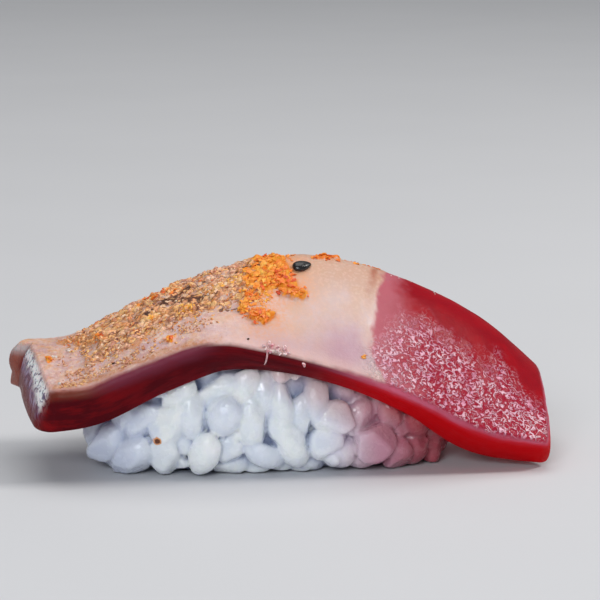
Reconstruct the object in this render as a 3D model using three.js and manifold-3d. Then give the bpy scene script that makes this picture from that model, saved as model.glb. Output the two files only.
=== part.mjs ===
// Tuna nigiri: a seared slice of tuna laid over a hand-pressed mound of rice.
// Millimetres. +X runs along the slice to its raw end, +Y to the back and +Z up.
// The origin is in the mound's flat foot, under the highest stretch of the slice.
import * as THREE from "three";
import { mergeVertices } from "three/addons/utils/BufferGeometryUtils.js";
import Module from "manifold-3d";

const wasm = await Module();
wasm.setup();

// The slice's top hangs between three lines, each from the skin end to the raw end.
const FRONT_EDGE = [
  [-33.9, -12.6, 13.2], [-28, -13.4, 14], [-20, -14, 17.3], [-11, -14.4, 19.9], [-1, -14.6, 17.9],
  [9, -14.6, 14.8], [18.5, -14.2, 10.7], [28, -13.6, 5.8], [37.6, -12.6, 3.9],
];
const CROWN = [
  [-36.4, 5, 16.2], [-30, 4.5, 17.5], [-20, 3.5, 22.6], [-10, 2.5, 26.9], [0, 2, 29.3],
  [10, 2, 28.3], [20, 2, 24.8], [30, 2.5, 19.3], [39, 4, 11.4],
];
const BACK_EDGE = [
  [-37.6, 11, 16], [-30.5, 12.2, 16.2], [-20, 12.8, 19.8], [-10, 13.2, 22.2], [0, 13.4, 22.4],
  [10, 13.4, 21], [20, 13.2, 17.6], [30, 12.8, 13], [39.8, 11, 8.4],
];
const THICKNESS = [6.5, 5.9, 5.5, 5.3, 3.8, 3.5, 4.3, 6.1, 4.7];
const CROWN_BEND = 2.6;

// The ends lean outwards below the top, and the plan corners are rounded.
const SKIN_END_LEAN = 2.6;
const RAW_END_LEAN = 1.7;
const LEAN_REACH = 0.12;
const CORNERS = { skinFront: 0.006, skinBack: 0.012, rawFront: 0.01, rawBack: 0.05, sharpness: 6 };
const SIDE_BULGE = 0.35;

// A swelling at the back of the skin end, the crease that parts it from the front, and the soft
// flesh that swells out low down in front.
const END_LOBE = { across: 0.72, width: 0.34, reach: 1.5, start: 0.25, sharpness: 8 };
const END_CREASE = { across: 0.3, width: 0.13, depth: 0.8 };
const END_FOOT = { across: -0.5, width: 0.55, reach: 1.4 };
const END_FADE = 0.06;

// Low crags of the seared crust, as waves of a height in mm over the slice's length and width.
const CRUST = { start: 0.08, fadeIn: 0.06, end: 0.5, fadeOut: 0.1, centre: -0.2, halfWidth: 0.6 };
const CRUST_WAVES = [
  { height: 0.16, along: 57, across: 9, phase: 0.4 },
  { height: 0.13, along: 83, across: -11, phase: 2.1 },
  { height: 0.1, along: -39, across: 16, phase: 4.4 },
];
// Two charred grooves that part where the fire caught the crust.
const GROOVES = [
  { start: 0.26, end: 0.46, across: -0.3, slope: 0.66, depth: 0.42 },
  { start: 0.26, end: 0.43, across: -0.32, slope: -1.86, depth: 0.34 },
];
const GROOVE_WIDTH = 0.07;
const GROOVE_FADE = 0.03;

// Grid of the slice, in cells.
const CELLS_ALONG = 42;
const CELLS_ACROSS = 14;
const CELLS_DEEP = 4;

// Chili flakes: where each cluster lies on the slice, how far it spreads and how many it has.
const CHILI_CLUSTERS = [
  { along: 0.475, across: -0.33, spreadAlong: 0.05, spreadAcross: 0.2, count: 24 },
  { along: 0.45, across: -0.67, spreadAlong: 0.018, spreadAcross: 0.09, count: 7 },
  { along: 0.3, across: -0.08, spreadAlong: 0.1, spreadAcross: 0.16, count: 13 },
  { along: 0.6, across: -0.02, spreadAlong: 0.07, spreadAcross: 0.12, count: 4 },
];
const LONE_FLAKES = [[0.03, -0.42], [0.296, -0.81], [0.64, -0.85]];
const FLAKE = { smallest: 0.5, largest: 1, narrow: [0.6, 0.9], thickness: 0.36, rock: 0.5, sunk: 0.02 };

// One black sesame seed.
const SEED = { along: 0.536, across: -0.215, length: 2.9, width: 1.9, thickness: 1.1, turn: 20, raised: 0.3 };
const SEED_FACES = { round: 10, high: 6 };

// The mound of rice: a boxy oval in plan, widest at waistHeight.
const MOUND = { centreX: -1.7, halfLength: 27, halfWidth: 11.3, squareness: 2.8 };
const MOUND_SIDE = { waistHeight: 8, halfHeight: 19, squareness: 2.2 };
const FOOT = { height: 5, inset: 2.2 };
const CORE_INSET = 2.3;
const CORE_FACES = { round: 32, high: 14 };
const GRAIN_INSET = 0.9;
const CLEARANCE = 0.3;
// The rice is cut by a mould of the slice that is open this far upwards, and by the table.
const MOULD_LIFT = 20;
const TABLE = { length: 120, width: 80, depth: 40 };

// Grains that stand out in front: x, z, lean from upright in degrees, length, width and how proud.
const LEAD_GRAINS = [
  [-27.4, 3.1, 15, 5.8, 4.5, -0.8], [-25.5, 4.3, 40, 7.5, 4.4, 0.4], [-21.9, 2.5, 40, 7.6, 4.8, 0.9],
  [-20.7, 8.3, 35, 6.9, 4, 0], [-17.6, 3.3, 2, 6.9, 4.5, 0.3], [-17, 7.7, 10, 7.6, 5.4, 0.2],
  [-15.2, 11.7, 35, 6.5, 4.4, 0.4], [-13.7, 9.1, 3, 6.8, 4.2, 0.3], [-11.8, 3.6, 22, 7.1, 4.2, 0.8],
  [-10.1, 12.5, 62, 7.1, 3.7, 0], [-9, 9.2, 25, 6.5, 4.9, 0.5], [-8.8, 4, 30, 4.6, 4.4, -0.3],
  [-8.9, 1.3, 85, 5.8, 3.7, -0.5], [-5.3, 8.1, 2, 8, 4.4, 0.3], [-3.5, 11.5, -3, 6.8, 4, -0.2],
  [-1.4, 9.5, -4, 8.6, 4, 0.2], [-3.8, 3.2, -55, 6.5, 3.8, 0.3], [-0.5, 5.7, -30, 7.6, 4.2, 0.4],
  [-4.6, 1.3, 80, 5.2, 3.3, -0.6], [-1.4, 1.2, 85, 4.6, 3.1, -0.6], [1.6, 8.6, 12, 6.9, 3.8, -0.2],
  [6.3, 8.1, 88, 6.6, 4.9, 0.6], [0.5, 4.3, -20, 6.8, 4.4, 0.1], [5.3, 4.6, 35, 5.8, 4.8, 0],
  [11.4, 4.4, -78, 6.8, 5.8, 0.9], [7.9, 2.8, 70, 5.2, 4.4, -0.5], [15.6, 2.2, 25, 5.2, 4.4, 0.7],
  [18.9, 2.4, 10, 5.2, 4.2, -0.4], [21.9, 2.3, 20, 4.6, 4, -0.6], [3.1, 1.6, -80, 5.5, 3.7, -0.5],
];
// The steepest that a lead grain runs into the mound.
const LEAD_SLOPE = 0.45;
const FOOT_GRAINS = { count: 17, height: 1.7, lean: 80, leanSpread: 32 };
const GRAIN_COUNT = 84;
const GRAIN_LENGTH = [5.6, 7.6];
const GRAIN_WIDTH = [3.4, 4.3];
const GRAIN_FLATNESS = 0.86;
const GRAIN_BLUNTNESS = 2.6;
const GRAIN_FACES = { round: 5, high: 4 };
const GRAIN_LEAN = { mean: 8, spread: 64 };
const GRAIN_TILT_SPREAD = 44;
const LOWEST_GRAIN = 1.1;
const HIGHEST_GRAIN = 17;
// A grain reaches this share of its width above its spine, and spines stay this share apart.
const GRAIN_HEADROOM = 0.3;
const GRAIN_SPACING = 0.5;
const GRAIN_TRIES = 40;
// Towards the raw end the grains stay lower under the slice, by this share of their width.
const RAW_END_RICE = { start: -2, end: 6, headroom: 0.95 };
// Steps for measuring round the mound.
const ANGLE_STEP = 0.02;
const RING_STEPS = 720;
const PLACES_ROUND = 360;

const RICE_SEED = 11;
const CHILI_SEED = 5;

// ---- small helpers ----

function seededRandom(seed) {
  let state = seed;
  return () => {
    state = (state + 0x6d2b79f5) | 0;
    let mixed = Math.imul(state ^ (state >>> 15), 1 | state);
    mixed = (mixed + Math.imul(mixed ^ (mixed >>> 7), 61 | mixed)) ^ mixed;
    return ((mixed ^ (mixed >>> 14)) >>> 0) / 4294967296;
  };
}

// A draw between -1 and 1 that favours the middle.
const centredDraw = (random) => (random() + random() + random()) / 1.5 - 1;
const drawBetween = (random, [low, high]) => low + (high - low) * random();
const bell = (x, centre, width) => Math.exp(-(((x - centre) / width) ** 2));
const power = (x, exponent) => Math.sign(x) * Math.abs(x) ** exponent;

function lineThrough(points) {
  const vectors = points.map((p) => new THREE.Vector3(...p));
  const curve = new THREE.CatmullRomCurve3(vectors, false, "catmullrom", 0.5);
  return (t) => curve.getPoint(THREE.MathUtils.clamp(t, 0, 1));
}

function solidFrom(geometry) {
  geometry.deleteAttribute("normal");
  geometry.deleteAttribute("uv");
  const merged = mergeVertices(geometry, 1e-4);
  const vertProperties = merged.attributes.position.array;
  const triVerts = new Uint32Array(merged.index.array);
  return new wasm.Manifold(new wasm.Mesh({ numProp: 3, vertProperties, triVerts }));
}

// The outer skin of the largest body, without scraps or sealed hollows.
function wholeBody(solid) {
  const bodies = solid.decompose();
  return bodies.sort((a, b) => b.volume() - a.volume())[0];
}

function geometryFrom(solid) {
  const mesh = solid.getMesh();
  const geometry = new THREE.BufferGeometry();
  geometry.setAttribute("position", new THREE.BufferAttribute(mesh.vertProperties, 3));
  geometry.setIndex(new THREE.BufferAttribute(mesh.triVerts, 1));
  geometry.computeVertexNormals();
  return geometry;
}

// ---- the slice ----
// along runs from 0 at the skin end to 1 at the raw end, across from -1 in front to 1 behind,
// and depth from 0 on top to 1 underneath.

const frontEdge = lineThrough(FRONT_EDGE);
const crown = lineThrough(CROWN);
const backEdge = lineThrough(BACK_EDGE);
const thickness = lineThrough(THICKNESS.map((t) => [t, 0, 0]));
const dropOver = (w) => Math.sqrt(1 + (CROWN_BEND * w) ** 2) - 1;

function topPoint(along, across) {
  const corner = Math.abs(across) ** CORNERS.sharpness;
  const atSkin = corner * (across < 0 ? CORNERS.skinFront : CORNERS.skinBack);
  const atRaw = corner * (across < 0 ? CORNERS.rawFront : CORNERS.rawBack);
  const t = atSkin + (1 - atSkin - atRaw) * along;
  const middle = crown(t);
  const edge = across < 0 ? frontEdge(t) : backEdge(t);
  const point = middle.clone().lerp(edge, Math.abs(across));
  point.z = middle.z + ((edge.z - middle.z) * dropOver(Math.abs(across))) / dropOver(1);
  return point;
}

function topNormal(along, across) {
  const step = 1e-3;
  const clampTo = THREE.MathUtils.clamp;
  const lengthwise = topPoint(clampTo(along + step, 0, 1), across);
  lengthwise.sub(topPoint(clampTo(along - step, 0, 1), across));
  const sideways = topPoint(along, clampTo(across + step, -1, 1));
  sideways.sub(topPoint(along, clampTo(across - step, -1, 1)));
  return lengthwise.cross(sideways).normalize();
}

function undersidePoint(along, across, clearance) {
  const depth = thickness(along).x + clearance;
  const point = topPoint(along, across).addScaledVector(topNormal(along, across), -depth);
  point.x -= SKIN_END_LEAN * Math.max(0, 1 - along / LEAN_REACH) ** 2;
  point.x += RAW_END_LEAN * Math.max(0, 1 - (1 - along) / LEAN_REACH) ** 2;
  return point;
}

function crustHeight(along, across) {
  const fade = THREE.MathUtils.smoothstep;
  const lengthwise = fade(along, CRUST.start, CRUST.start + CRUST.fadeIn);
  const towardsRaw = 1 - fade(along, CRUST.end, CRUST.end + CRUST.fadeOut);
  const sideways = bell(across, CRUST.centre, CRUST.halfWidth);
  const waves = CRUST_WAVES.map((w) => w.height * Math.sin(w.along * along + w.across * across + w.phase));
  const crags = waves.reduce((sum, height) => sum + height, 0);
  const grooves = GROOVES.map((g) => {
    const opening = fade(along, g.start, g.start + GROOVE_FADE);
    const closing = 1 - fade(along, g.end - GROOVE_FADE, g.end);
    const middle = g.across + g.slope * (along - g.start);
    return g.depth * opening * closing * bell(across, middle, GROOVE_WIDTH);
  });
  return crags * lengthwise * towardsRaw * sideways - grooves[0] - grooves[1];
}

// The level direction that leads out of the slice at its rim, and nothing away from the rim.
function outwards(along, across) {
  const direction = new THREE.Vector3();
  if (Math.abs(across) === 1) direction.y += across;
  if (along === 0) direction.x -= 1;
  if (along === 1) direction.x += 1;
  return direction.normalize();
}

function skinEndSwelling(across, depth) {
  const rounded = 1 - across ** END_LOBE.sharpness;
  const lobe = END_LOBE.reach * bell(across, END_LOBE.across, END_LOBE.width) * rounded;
  const crease = END_CREASE.depth * bell(across, END_CREASE.across, END_CREASE.width);
  const foot = END_FOOT.reach * bell(across, END_FOOT.across, END_FOOT.width) * depth * (1.7 - depth);
  return lobe * Math.sin(Math.PI * Math.min(1, END_LOBE.start + depth)) - crease * (1 - depth) + foot;
}

// A point of the slice, or of a mould that stands clear of it and is open upwards by lift.
function slicePoint(along, across, depth, clearance = 0, lift = 0) {
  const top = topPoint(along, across);
  top.addScaledVector(topNormal(along, across), crustHeight(along, across));
  top.z += lift;
  const point = top.lerp(undersidePoint(along, across, clearance), depth);
  const bulge = SIDE_BULGE * 4 * depth * (1 - depth) + clearance;
  point.addScaledVector(outwards(along, across), bulge);
  point.x -= skinEndSwelling(across, depth) * Math.max(0, 1 - along / END_FADE) ** 2;
  return point;
}

function sliceGeometry(clearance = 0, lift = 0) {
  const positions = [];
  const index = [];
  const quad = (a, b, c, d) => index.push(a, b, c, a, c, d);
  const add = (along, across, depth) => {
    positions.push(...slicePoint(along, across, depth, clearance, lift).toArray());
    return positions.length / 3 - 1;
  };
  const acrossAt = (j) => (2 * j) / CELLS_ACROSS - 1;
  for (const depth of [0, 1]) {
    const grid = [];
    for (let i = 0; i <= CELLS_ALONG; i++) {
      grid.push([]);
      for (let j = 0; j <= CELLS_ACROSS; j++) grid[i].push(add(i / CELLS_ALONG, acrossAt(j), depth));
    }
    for (let i = 0; i < CELLS_ALONG; i++) {
      for (let j = 0; j < CELLS_ACROSS; j++) {
        const corners = [grid[i][j], grid[i + 1][j], grid[i + 1][j + 1], grid[i][j + 1]];
        quad(...(depth === 0 ? corners : corners.reverse()));
      }
    }
  }
  const rim = [];
  for (let i = 0; i < CELLS_ALONG; i++) rim.push([i / CELLS_ALONG, -1]);
  for (let j = 0; j < CELLS_ACROSS; j++) rim.push([1, acrossAt(j)]);
  for (let i = CELLS_ALONG; i > 0; i--) rim.push([i / CELLS_ALONG, 1]);
  for (let j = CELLS_ACROSS; j > 0; j--) rim.push([0, acrossAt(j)]);
  const rings = [];
  for (let k = 0; k <= CELLS_DEEP; k++) rings.push(rim.map(([u, v]) => add(u, v, k / CELLS_DEEP)));
  for (let k = 0; k < CELLS_DEEP; k++) {
    rim.forEach((_, i) => {
      const next = (i + 1) % rim.length;
      quad(rings[k][i], rings[k + 1][i], rings[k + 1][next], rings[k][next]);
    });
  }
  const geometry = new THREE.BufferGeometry();
  geometry.setAttribute("position", new THREE.Float32BufferAttribute(positions, 3));
  geometry.setIndex(index);
  return geometry;
}

// Lays a small piece, modelled flat at the origin with its length along X, on the slice's top.
function layOnSlice(geometry, along, across, turn, sunk) {
  const up = topNormal(along, across);
  const lengthwise = new THREE.Vector3(1, 0, 0).projectOnPlane(up).normalize();
  lengthwise.applyAxisAngle(up, turn);
  const sideways = up.clone().cross(lengthwise);
  const place = new THREE.Matrix4().makeBasis(lengthwise, sideways, up);
  const rise = crustHeight(along, across) - sunk;
  place.setPosition(topPoint(along, across).addScaledVector(up, rise));
  return geometry.applyMatrix4(place);
}

function flakes() {
  const random = seededRandom(CHILI_SEED);
  const places = [...LONE_FLAKES];
  for (const cluster of CHILI_CLUSTERS) {
    for (let i = 0; i < cluster.count; i++) {
      const along = cluster.along + cluster.spreadAlong * centredDraw(random);
      places.push([along, cluster.across + cluster.spreadAcross * centredDraw(random)]);
    }
  }
  return places.map(([along, across]) => {
    const length = drawBetween(random, [FLAKE.smallest, FLAKE.largest]);
    const width = length * drawBetween(random, FLAKE.narrow);
    const flake = new THREE.OctahedronGeometry(1).scale(length, width, FLAKE.thickness);
    flake.rotateY(FLAKE.rock * centredDraw(random));
    return layOnSlice(flake, along, across, Math.PI * random(), FLAKE.sunk);
  });
}

function seed() {
  const body = new THREE.SphereGeometry(1, SEED_FACES.round, SEED_FACES.high).rotateZ(Math.PI / 2);
  body.scale(SEED.length / 2, SEED.width / 2, SEED.thickness / 2);
  const turn = THREE.MathUtils.degToRad(SEED.turn);
  return layOnSlice(body, SEED.along, SEED.across, turn, -SEED.thickness * SEED.raised);
}

// ---- the rice ----

// How far the mound's side stands in at a height, as a share of its waist.
function sideShare(z) {
  const rise = Math.abs(z - MOUND_SIDE.waistHeight) / MOUND_SIDE.halfHeight;
  return (1 - Math.min(1, rise) ** MOUND_SIDE.squareness) ** (1 / MOUND_SIDE.squareness);
}

function moundPoint(angle, z, inset) {
  const share = sideShare(z);
  const roundness = 2 / MOUND.squareness;
  const depth = inset + FOOT.inset * Math.max(0, 1 - z / FOOT.height) ** 2;
  const x = (MOUND.halfLength - depth) * share * power(Math.cos(angle), roundness);
  const y = (MOUND.halfWidth - depth) * share * power(Math.sin(angle), roundness);
  return new THREE.Vector3(MOUND.centreX + x, y, z);
}

function coreGeometry() {
  const geometry = new THREE.SphereGeometry(1, CORE_FACES.round, CORE_FACES.high).rotateX(Math.PI / 2);
  const position = geometry.attributes.position;
  for (let i = 0; i < position.count; i++) {
    const angle = Math.atan2(position.getY(i), position.getX(i));
    const z = MOUND_SIDE.waistHeight + MOUND_SIDE.halfHeight * position.getZ(i);
    position.setXYZ(i, ...moundPoint(angle, z, CORE_INSET).toArray());
  }
  return geometry;
}

// Angles that step evenly round the mound's waist, so that its long sides get their share.
function evenAngles(steps) {
  const angles = Array.from({ length: RING_STEPS + 1 }, (_, i) => (2 * Math.PI * i) / RING_STEPS);
  const ring = angles.map((angle) => moundPoint(angle, MOUND_SIDE.waistHeight, 0));
  const lengths = [0];
  for (let i = 1; i <= RING_STEPS; i++) lengths.push(lengths[i - 1] + ring[i].distanceTo(ring[i - 1]));
  return Array.from({ length: steps }, (_, i) => {
    const wanted = (lengths[RING_STEPS] * i) / steps;
    return angles[lengths.findIndex((length) => length >= wanted)];
  });
}

// The height of the slice's underside over a point of the mound's side.
function ceilingOver(point) {
  const along = (point.x - CROWN[0][0]) / (CROWN.at(-1)[0] - CROWN[0][0]);
  const middle = undersidePoint(along, 0, 0);
  const edge = undersidePoint(along, Math.sign(point.y - middle.y), 0);
  const across = Math.min(1, (point.y - middle.y) / (edge.y - middle.y));
  return undersidePoint(along, across * Math.sign(point.y - middle.y), CLEARANCE).z;
}

// A grain's place and the direction of its length, from where it lies on the mound's side.
function grainPose(angle, z, lean, tilt, length, width, inset = GRAIN_INSET) {
  const step = ANGLE_STEP;
  const centre = moundPoint(angle, z, inset);
  const level = moundPoint(angle + step, z, 0).sub(moundPoint(angle - step, z, 0)).normalize();
  if (level.x < 0) level.negate();
  const climb = moundPoint(angle, z + step, 0).sub(moundPoint(angle, z - step, 0)).normalize();
  const out = new THREE.Vector3().crossVectors(level, climb).normalize();
  if (out.y * Math.sin(angle) < 0) out.negate();
  const axis = climb.multiplyScalar(Math.cos(lean)).addScaledVector(level, Math.sin(lean));
  axis.multiplyScalar(Math.cos(tilt)).addScaledVector(out, Math.sin(tilt)).normalize();
  return { centre, axis, out, length, width, spine: spineOf(centre, axis, length, width) };
}

function spineOf(centre, axis, length, width) {
  const reach = (length - width) / 2;
  return [-reach, 0, reach].map((along) => centre.clone().addScaledVector(axis, along));
}

// A lead grain's lean is measured in the plane that faces the front.
function leadPose([x, z, leanDegrees, length, width, proud]) {
  const share = (MOUND.halfLength - GRAIN_INSET) * sideShare(z);
  const cosine = power((x - MOUND.centreX) / share, MOUND.squareness / 2);
  const angle = -Math.acos(THREE.MathUtils.clamp(cosine, -1, 1));
  const lean = THREE.MathUtils.degToRad(leanDegrees);
  const pose = grainPose(angle, z, lean, 0, length, width, GRAIN_INSET - proud);
  const inwards = -(pose.out.x * Math.sin(lean) + pose.out.z * Math.cos(lean)) / pose.out.y;
  const slope = THREE.MathUtils.clamp(inwards, -LEAD_SLOPE, LEAD_SLOPE);
  const axis = new THREE.Vector3(Math.sin(lean), slope, Math.cos(lean)).normalize();
  return { ...pose, axis, spine: spineOf(pose.centre, axis, length, width) };
}

function fitsUnderSlice(pose) {
  return pose.spine.every((point) => {
    const lower = THREE.MathUtils.smoothstep(point.x, RAW_END_RICE.start, RAW_END_RICE.end);
    const room = (GRAIN_HEADROOM + RAW_END_RICE.headroom * lower) * pose.width;
    return point.z > LOWEST_GRAIN && point.z + room < ceilingOver(point);
  });
}

function spaceBetween(pose, other) {
  const gaps = pose.spine.map((a) => Math.min(...other.spine.map((b) => a.distanceTo(b))));
  return Math.min(...gaps) / (pose.width / 2 + other.width / 2);
}

// Lead grains first, then each further one where it has the most room of a few tries.
function grainPoses() {
  const random = seededRandom(RICE_SEED);
  const degrees = THREE.MathUtils.degToRad;
  const poses = LEAD_GRAINS.map(leadPose);
  for (const angle of evenAngles(FOOT_GRAINS.count)) {
    const length = drawBetween(random, GRAIN_LENGTH);
    const width = drawBetween(random, GRAIN_WIDTH);
    const lean = degrees(FOOT_GRAINS.lean + FOOT_GRAINS.leanSpread * centredDraw(random));
    const pose = grainPose(angle, FOOT_GRAINS.height, lean, 0, length, width);
    const space = Math.min(...poses.map((other) => spaceBetween(pose, other)));
    if (space > GRAIN_SPACING) poses.push(pose);
  }
  const angles = evenAngles(PLACES_ROUND);
  for (let i = 0; i < GRAIN_COUNT; i++) {
    const length = drawBetween(random, GRAIN_LENGTH);
    const width = drawBetween(random, GRAIN_WIDTH);
    let best = null;
    let bestSpace = GRAIN_SPACING;
    for (let attempt = 0; attempt < GRAIN_TRIES; attempt++) {
      const angle = angles[Math.floor(random() * angles.length)];
      const height = drawBetween(random, [LOWEST_GRAIN, HIGHEST_GRAIN]);
      const lean = degrees(GRAIN_LEAN.mean + GRAIN_LEAN.spread * centredDraw(random));
      const tilt = degrees(GRAIN_TILT_SPREAD * centredDraw(random));
      const pose = grainPose(angle, height, lean, tilt, length, width);
      if (!fitsUnderSlice(pose)) continue;
      const space = Math.min(...poses.map((other) => spaceBetween(pose, other)));
      if (space > bestSpace) [best, bestSpace] = [pose, space];
    }
    if (best) poses.push(best);
  }
  return poses;
}

function grainGeometry(pose) {
  const geometry = new THREE.SphereGeometry(1, GRAIN_FACES.round, GRAIN_FACES.high);
  const position = geometry.attributes.position;
  for (let i = 0; i < position.count; i++) {
    const blunt = power(position.getY(i), 0.9);
    const round = Math.sqrt(Math.max(0, 1 - Math.abs(blunt) ** GRAIN_BLUNTNESS));
    const ring = Math.hypot(position.getX(i), position.getZ(i)) || 1;
    const swell = round / ring;
    position.setXYZ(i, position.getX(i) * swell, blunt, position.getZ(i) * swell);
  }
  geometry.scale(pose.width / 2, pose.length / 2, (pose.width * GRAIN_FLATNESS) / 2);
  const side = new THREE.Vector3().crossVectors(pose.axis, pose.out).normalize();
  const face = new THREE.Vector3().crossVectors(side, pose.axis);
  const place = new THREE.Matrix4().makeBasis(side, pose.axis, face).setPosition(pose.centre);
  return geometry.applyMatrix4(place);
}

// ---- the pieces ----

function tunaSlice() {
  let solid = solidFrom(sliceGeometry());
  for (const topping of [...flakes(), seed()]) solid = solid.add(solidFrom(topping));
  const material = new THREE.MeshStandardMaterial({ color: 0xb4404e, roughness: 0.3, metalness: 0 });
  const mesh = new THREE.Mesh(geometryFrom(wholeBody(solid)), material);
  mesh.name = "tuna_slice";
  return mesh;
}

function rice() {
  const table = new THREE.BoxGeometry(TABLE.length, TABLE.width, TABLE.depth);
  table.translate(0, 0, -TABLE.depth / 2);
  let solid = solidFrom(coreGeometry());
  for (const pose of grainPoses()) solid = solid.add(solidFrom(grainGeometry(pose)));
  solid = solid.subtract(solidFrom(sliceGeometry(CLEARANCE, MOULD_LIFT)));
  solid = solid.subtract(solidFrom(table));
  const material = new THREE.MeshStandardMaterial({ color: 0xd9dde8, roughness: 0.35, metalness: 0 });
  const mesh = new THREE.Mesh(geometryFrom(wholeBody(solid)), material);
  mesh.name = "rice";
  return mesh;
}

const nigiri = new THREE.Group();
nigiri.add(rice(), tunaSlice());

export default nigiri;
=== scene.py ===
import math
from contextlib import contextmanager
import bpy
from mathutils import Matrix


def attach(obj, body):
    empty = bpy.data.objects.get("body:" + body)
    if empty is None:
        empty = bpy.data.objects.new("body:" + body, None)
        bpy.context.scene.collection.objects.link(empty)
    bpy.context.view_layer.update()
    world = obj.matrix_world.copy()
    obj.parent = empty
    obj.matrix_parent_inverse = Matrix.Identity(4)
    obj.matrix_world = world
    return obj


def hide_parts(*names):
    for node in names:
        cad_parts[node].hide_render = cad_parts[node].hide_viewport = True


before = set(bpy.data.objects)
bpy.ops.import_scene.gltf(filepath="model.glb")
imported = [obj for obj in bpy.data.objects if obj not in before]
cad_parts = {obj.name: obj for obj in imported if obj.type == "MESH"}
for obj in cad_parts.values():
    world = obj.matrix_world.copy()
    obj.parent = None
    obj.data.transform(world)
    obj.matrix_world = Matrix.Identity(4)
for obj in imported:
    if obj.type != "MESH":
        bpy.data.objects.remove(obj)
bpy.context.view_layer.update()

from types import SimpleNamespace
import bpy
import numpy as np
from mathutils import Matrix, Vector, noise

# Tuna nigiri. Shapes are worked out in millimetres and scaled to metres as they go into a mesh.
# +X runs along the slice to its raw end, +Y to the back and +Z up.
MM = 0.001

# ---- the slice's driving lines, each from the skin end to the raw end ----

FRONT_EDGE = [
    (-33.9, -12.6, 13.2), (-28, -13.4, 14), (-20, -14, 17.3), (-11, -14.4, 19.9), (-1, -14.6, 17.9),
    (9, -14.6, 14.8), (18.5, -14.2, 10.7), (28, -13.6, 5.8), (37.6, -12.6, 3.9),
]
CROWN = [
    (-36.4, 5, 16.2), (-30, 4.5, 17.5), (-20, 3.5, 22.6), (-10, 2.5, 26.9), (0, 2, 29.3),
    (10, 2, 28.3), (20, 2, 24.8), (30, 2.5, 19.3), (39, 4, 11.4),
]
BACK_EDGE = [
    (-37.6, 11, 16), (-30.5, 12.2, 16.2), (-20, 12.8, 19.8), (-10, 13.2, 22.2), (0, 13.4, 22.4),
    (10, 13.4, 21), (20, 13.2, 17.6), (30, 12.8, 13), (39.8, 11, 8.4),
]
THICKNESS = [6.5, 5.9, 5.5, 5.3, 3.8, 3.5, 4.3, 6.1, 4.7]
CROWN_BEND = 2.6
SKIN_END_LEAN = 2.6
RAW_END_LEAN = 1.7
LEAN_REACH = 0.12
CORNERS = {"skin front": 0.006, "skin back": 0.012, "raw front": 0.01, "raw back": 0.05}
SIDE_BULGE = 0.35
END_LOBE = {"across": 0.72, "width": 0.34, "reach": 1.5}
END_CREASE = {"across": 0.3, "width": 0.13, "depth": 0.8}
END_FADE = 0.06
# The soft flesh that swells out low down at the front of the skin end.
END_FOOT = {"across": -0.5, "width": 0.55, "reach": 1.4}

# Crags and charred grooves of the seared crust.
CRUST = {"start": 0.08, "fade in": 0.06, "end": 0.5, "fade out": 0.1, "centre": -0.2, "half width": 0.6}
CRUST_WAVES = [(0.16, 57, 9, 0.4), (0.13, 83, -11, 2.1), (0.1, -39, 16, 4.4)]
GROOVES = [(0.26, 0.46, -0.3, 0.66, 0.42), (0.26, 0.43, -0.32, -1.86, 0.34)]
GROOVE_WIDTH = 0.07
GROOVE_FADE = 0.03

# The slice's grid, and how its rim is rounded over.
CELLS_ALONG = 340
CELLS_ACROSS = 120
EDGE_RADIUS = 0.95
EDGE_DEPTH = 0.2
FOOT_RADIUS = 0.18
FOOT_DEPTH = 0.08
ARC_STEPS = 5
WALL_STEPS = 7
# How far the upright corner edges are rounded, in mm: skin front, skin back, raw front, raw back.
CORNER_RADII = (2.4, 1.8, 1.2, 1.6)
SLICE_LENGTH = 86
SLICE_HALF_WIDTH = 17

# ---- the rice's driving sizes ----

MOUND = {"centre x": -1.7, "half length": 27, "half width": 11.3, "squareness": 2.8}
MOUND_SIDE = {"waist height": 8, "half height": 19, "squareness": 2.2}
FOOT = {"height": 5, "inset": 2.2}
GRAIN_INSET = 0.9
CLEARANCE = 0.3
# Grains that stand out in front: x, z, lean from upright, length, width and how proud they stand.
LEAD_GRAINS = [
    (-27.4, 3.1, 15, 5.8, 4.5, -0.8), (-25.5, 4.3, 40, 7.5, 4.4, 0.4), (-21.9, 2.5, 40, 7.6, 4.8, 0.9),
    (-20.7, 8.3, 35, 6.9, 4, 0), (-17.6, 3.3, 2, 6.9, 4.5, 0.3), (-17, 7.7, 10, 7.6, 5.4, 0.2),
    (-15.2, 11.7, 35, 6.5, 4.4, 0.4), (-13.7, 9.1, 3, 6.8, 4.2, 0.3), (-11.8, 3.6, 22, 7.1, 4.2, 0.8),
    (-10.1, 12.5, 62, 7.1, 3.7, 0), (-9, 9.2, 25, 6.5, 4.9, 0.5), (-8.8, 4, 30, 4.6, 4.4, -0.3),
    (-8.9, 1.3, 85, 5.8, 3.7, -0.5), (-5.3, 8.1, 2, 8, 4.4, 0.3), (-3.5, 11.5, -3, 6.8, 4, -0.2),
    (-1.4, 9.5, -4, 8.6, 4, 0.2), (-3.8, 3.2, -55, 6.5, 3.8, 0.3), (-0.5, 5.7, -30, 7.6, 4.2, 0.4),
    (-4.6, 1.3, 80, 5.2, 3.3, -0.6), (-1.4, 1.2, 85, 4.6, 3.1, -0.6), (1.6, 8.6, 12, 6.9, 3.8, -0.2),
    (6.3, 8.1, 88, 6.6, 4.9, 0.6), (0.5, 4.3, -20, 6.8, 4.4, 0.1), (5.3, 4.6, 35, 5.8, 4.8, 0),
    (11.4, 4.4, -78, 6.8, 5.8, 0.9), (7.9, 2.8, 70, 5.2, 4.4, -0.5), (15.6, 2.2, 25, 5.2, 4.4, 0.7),
    (18.9, 2.4, 10, 5.2, 4.2, -0.4), (21.9, 2.3, 20, 4.6, 4, -0.6), (3.1, 1.6, -80, 5.5, 3.7, -0.5),
]
# The steepest that a lead grain runs into the mound.
LEAD_SLOPE = 0.45
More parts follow.
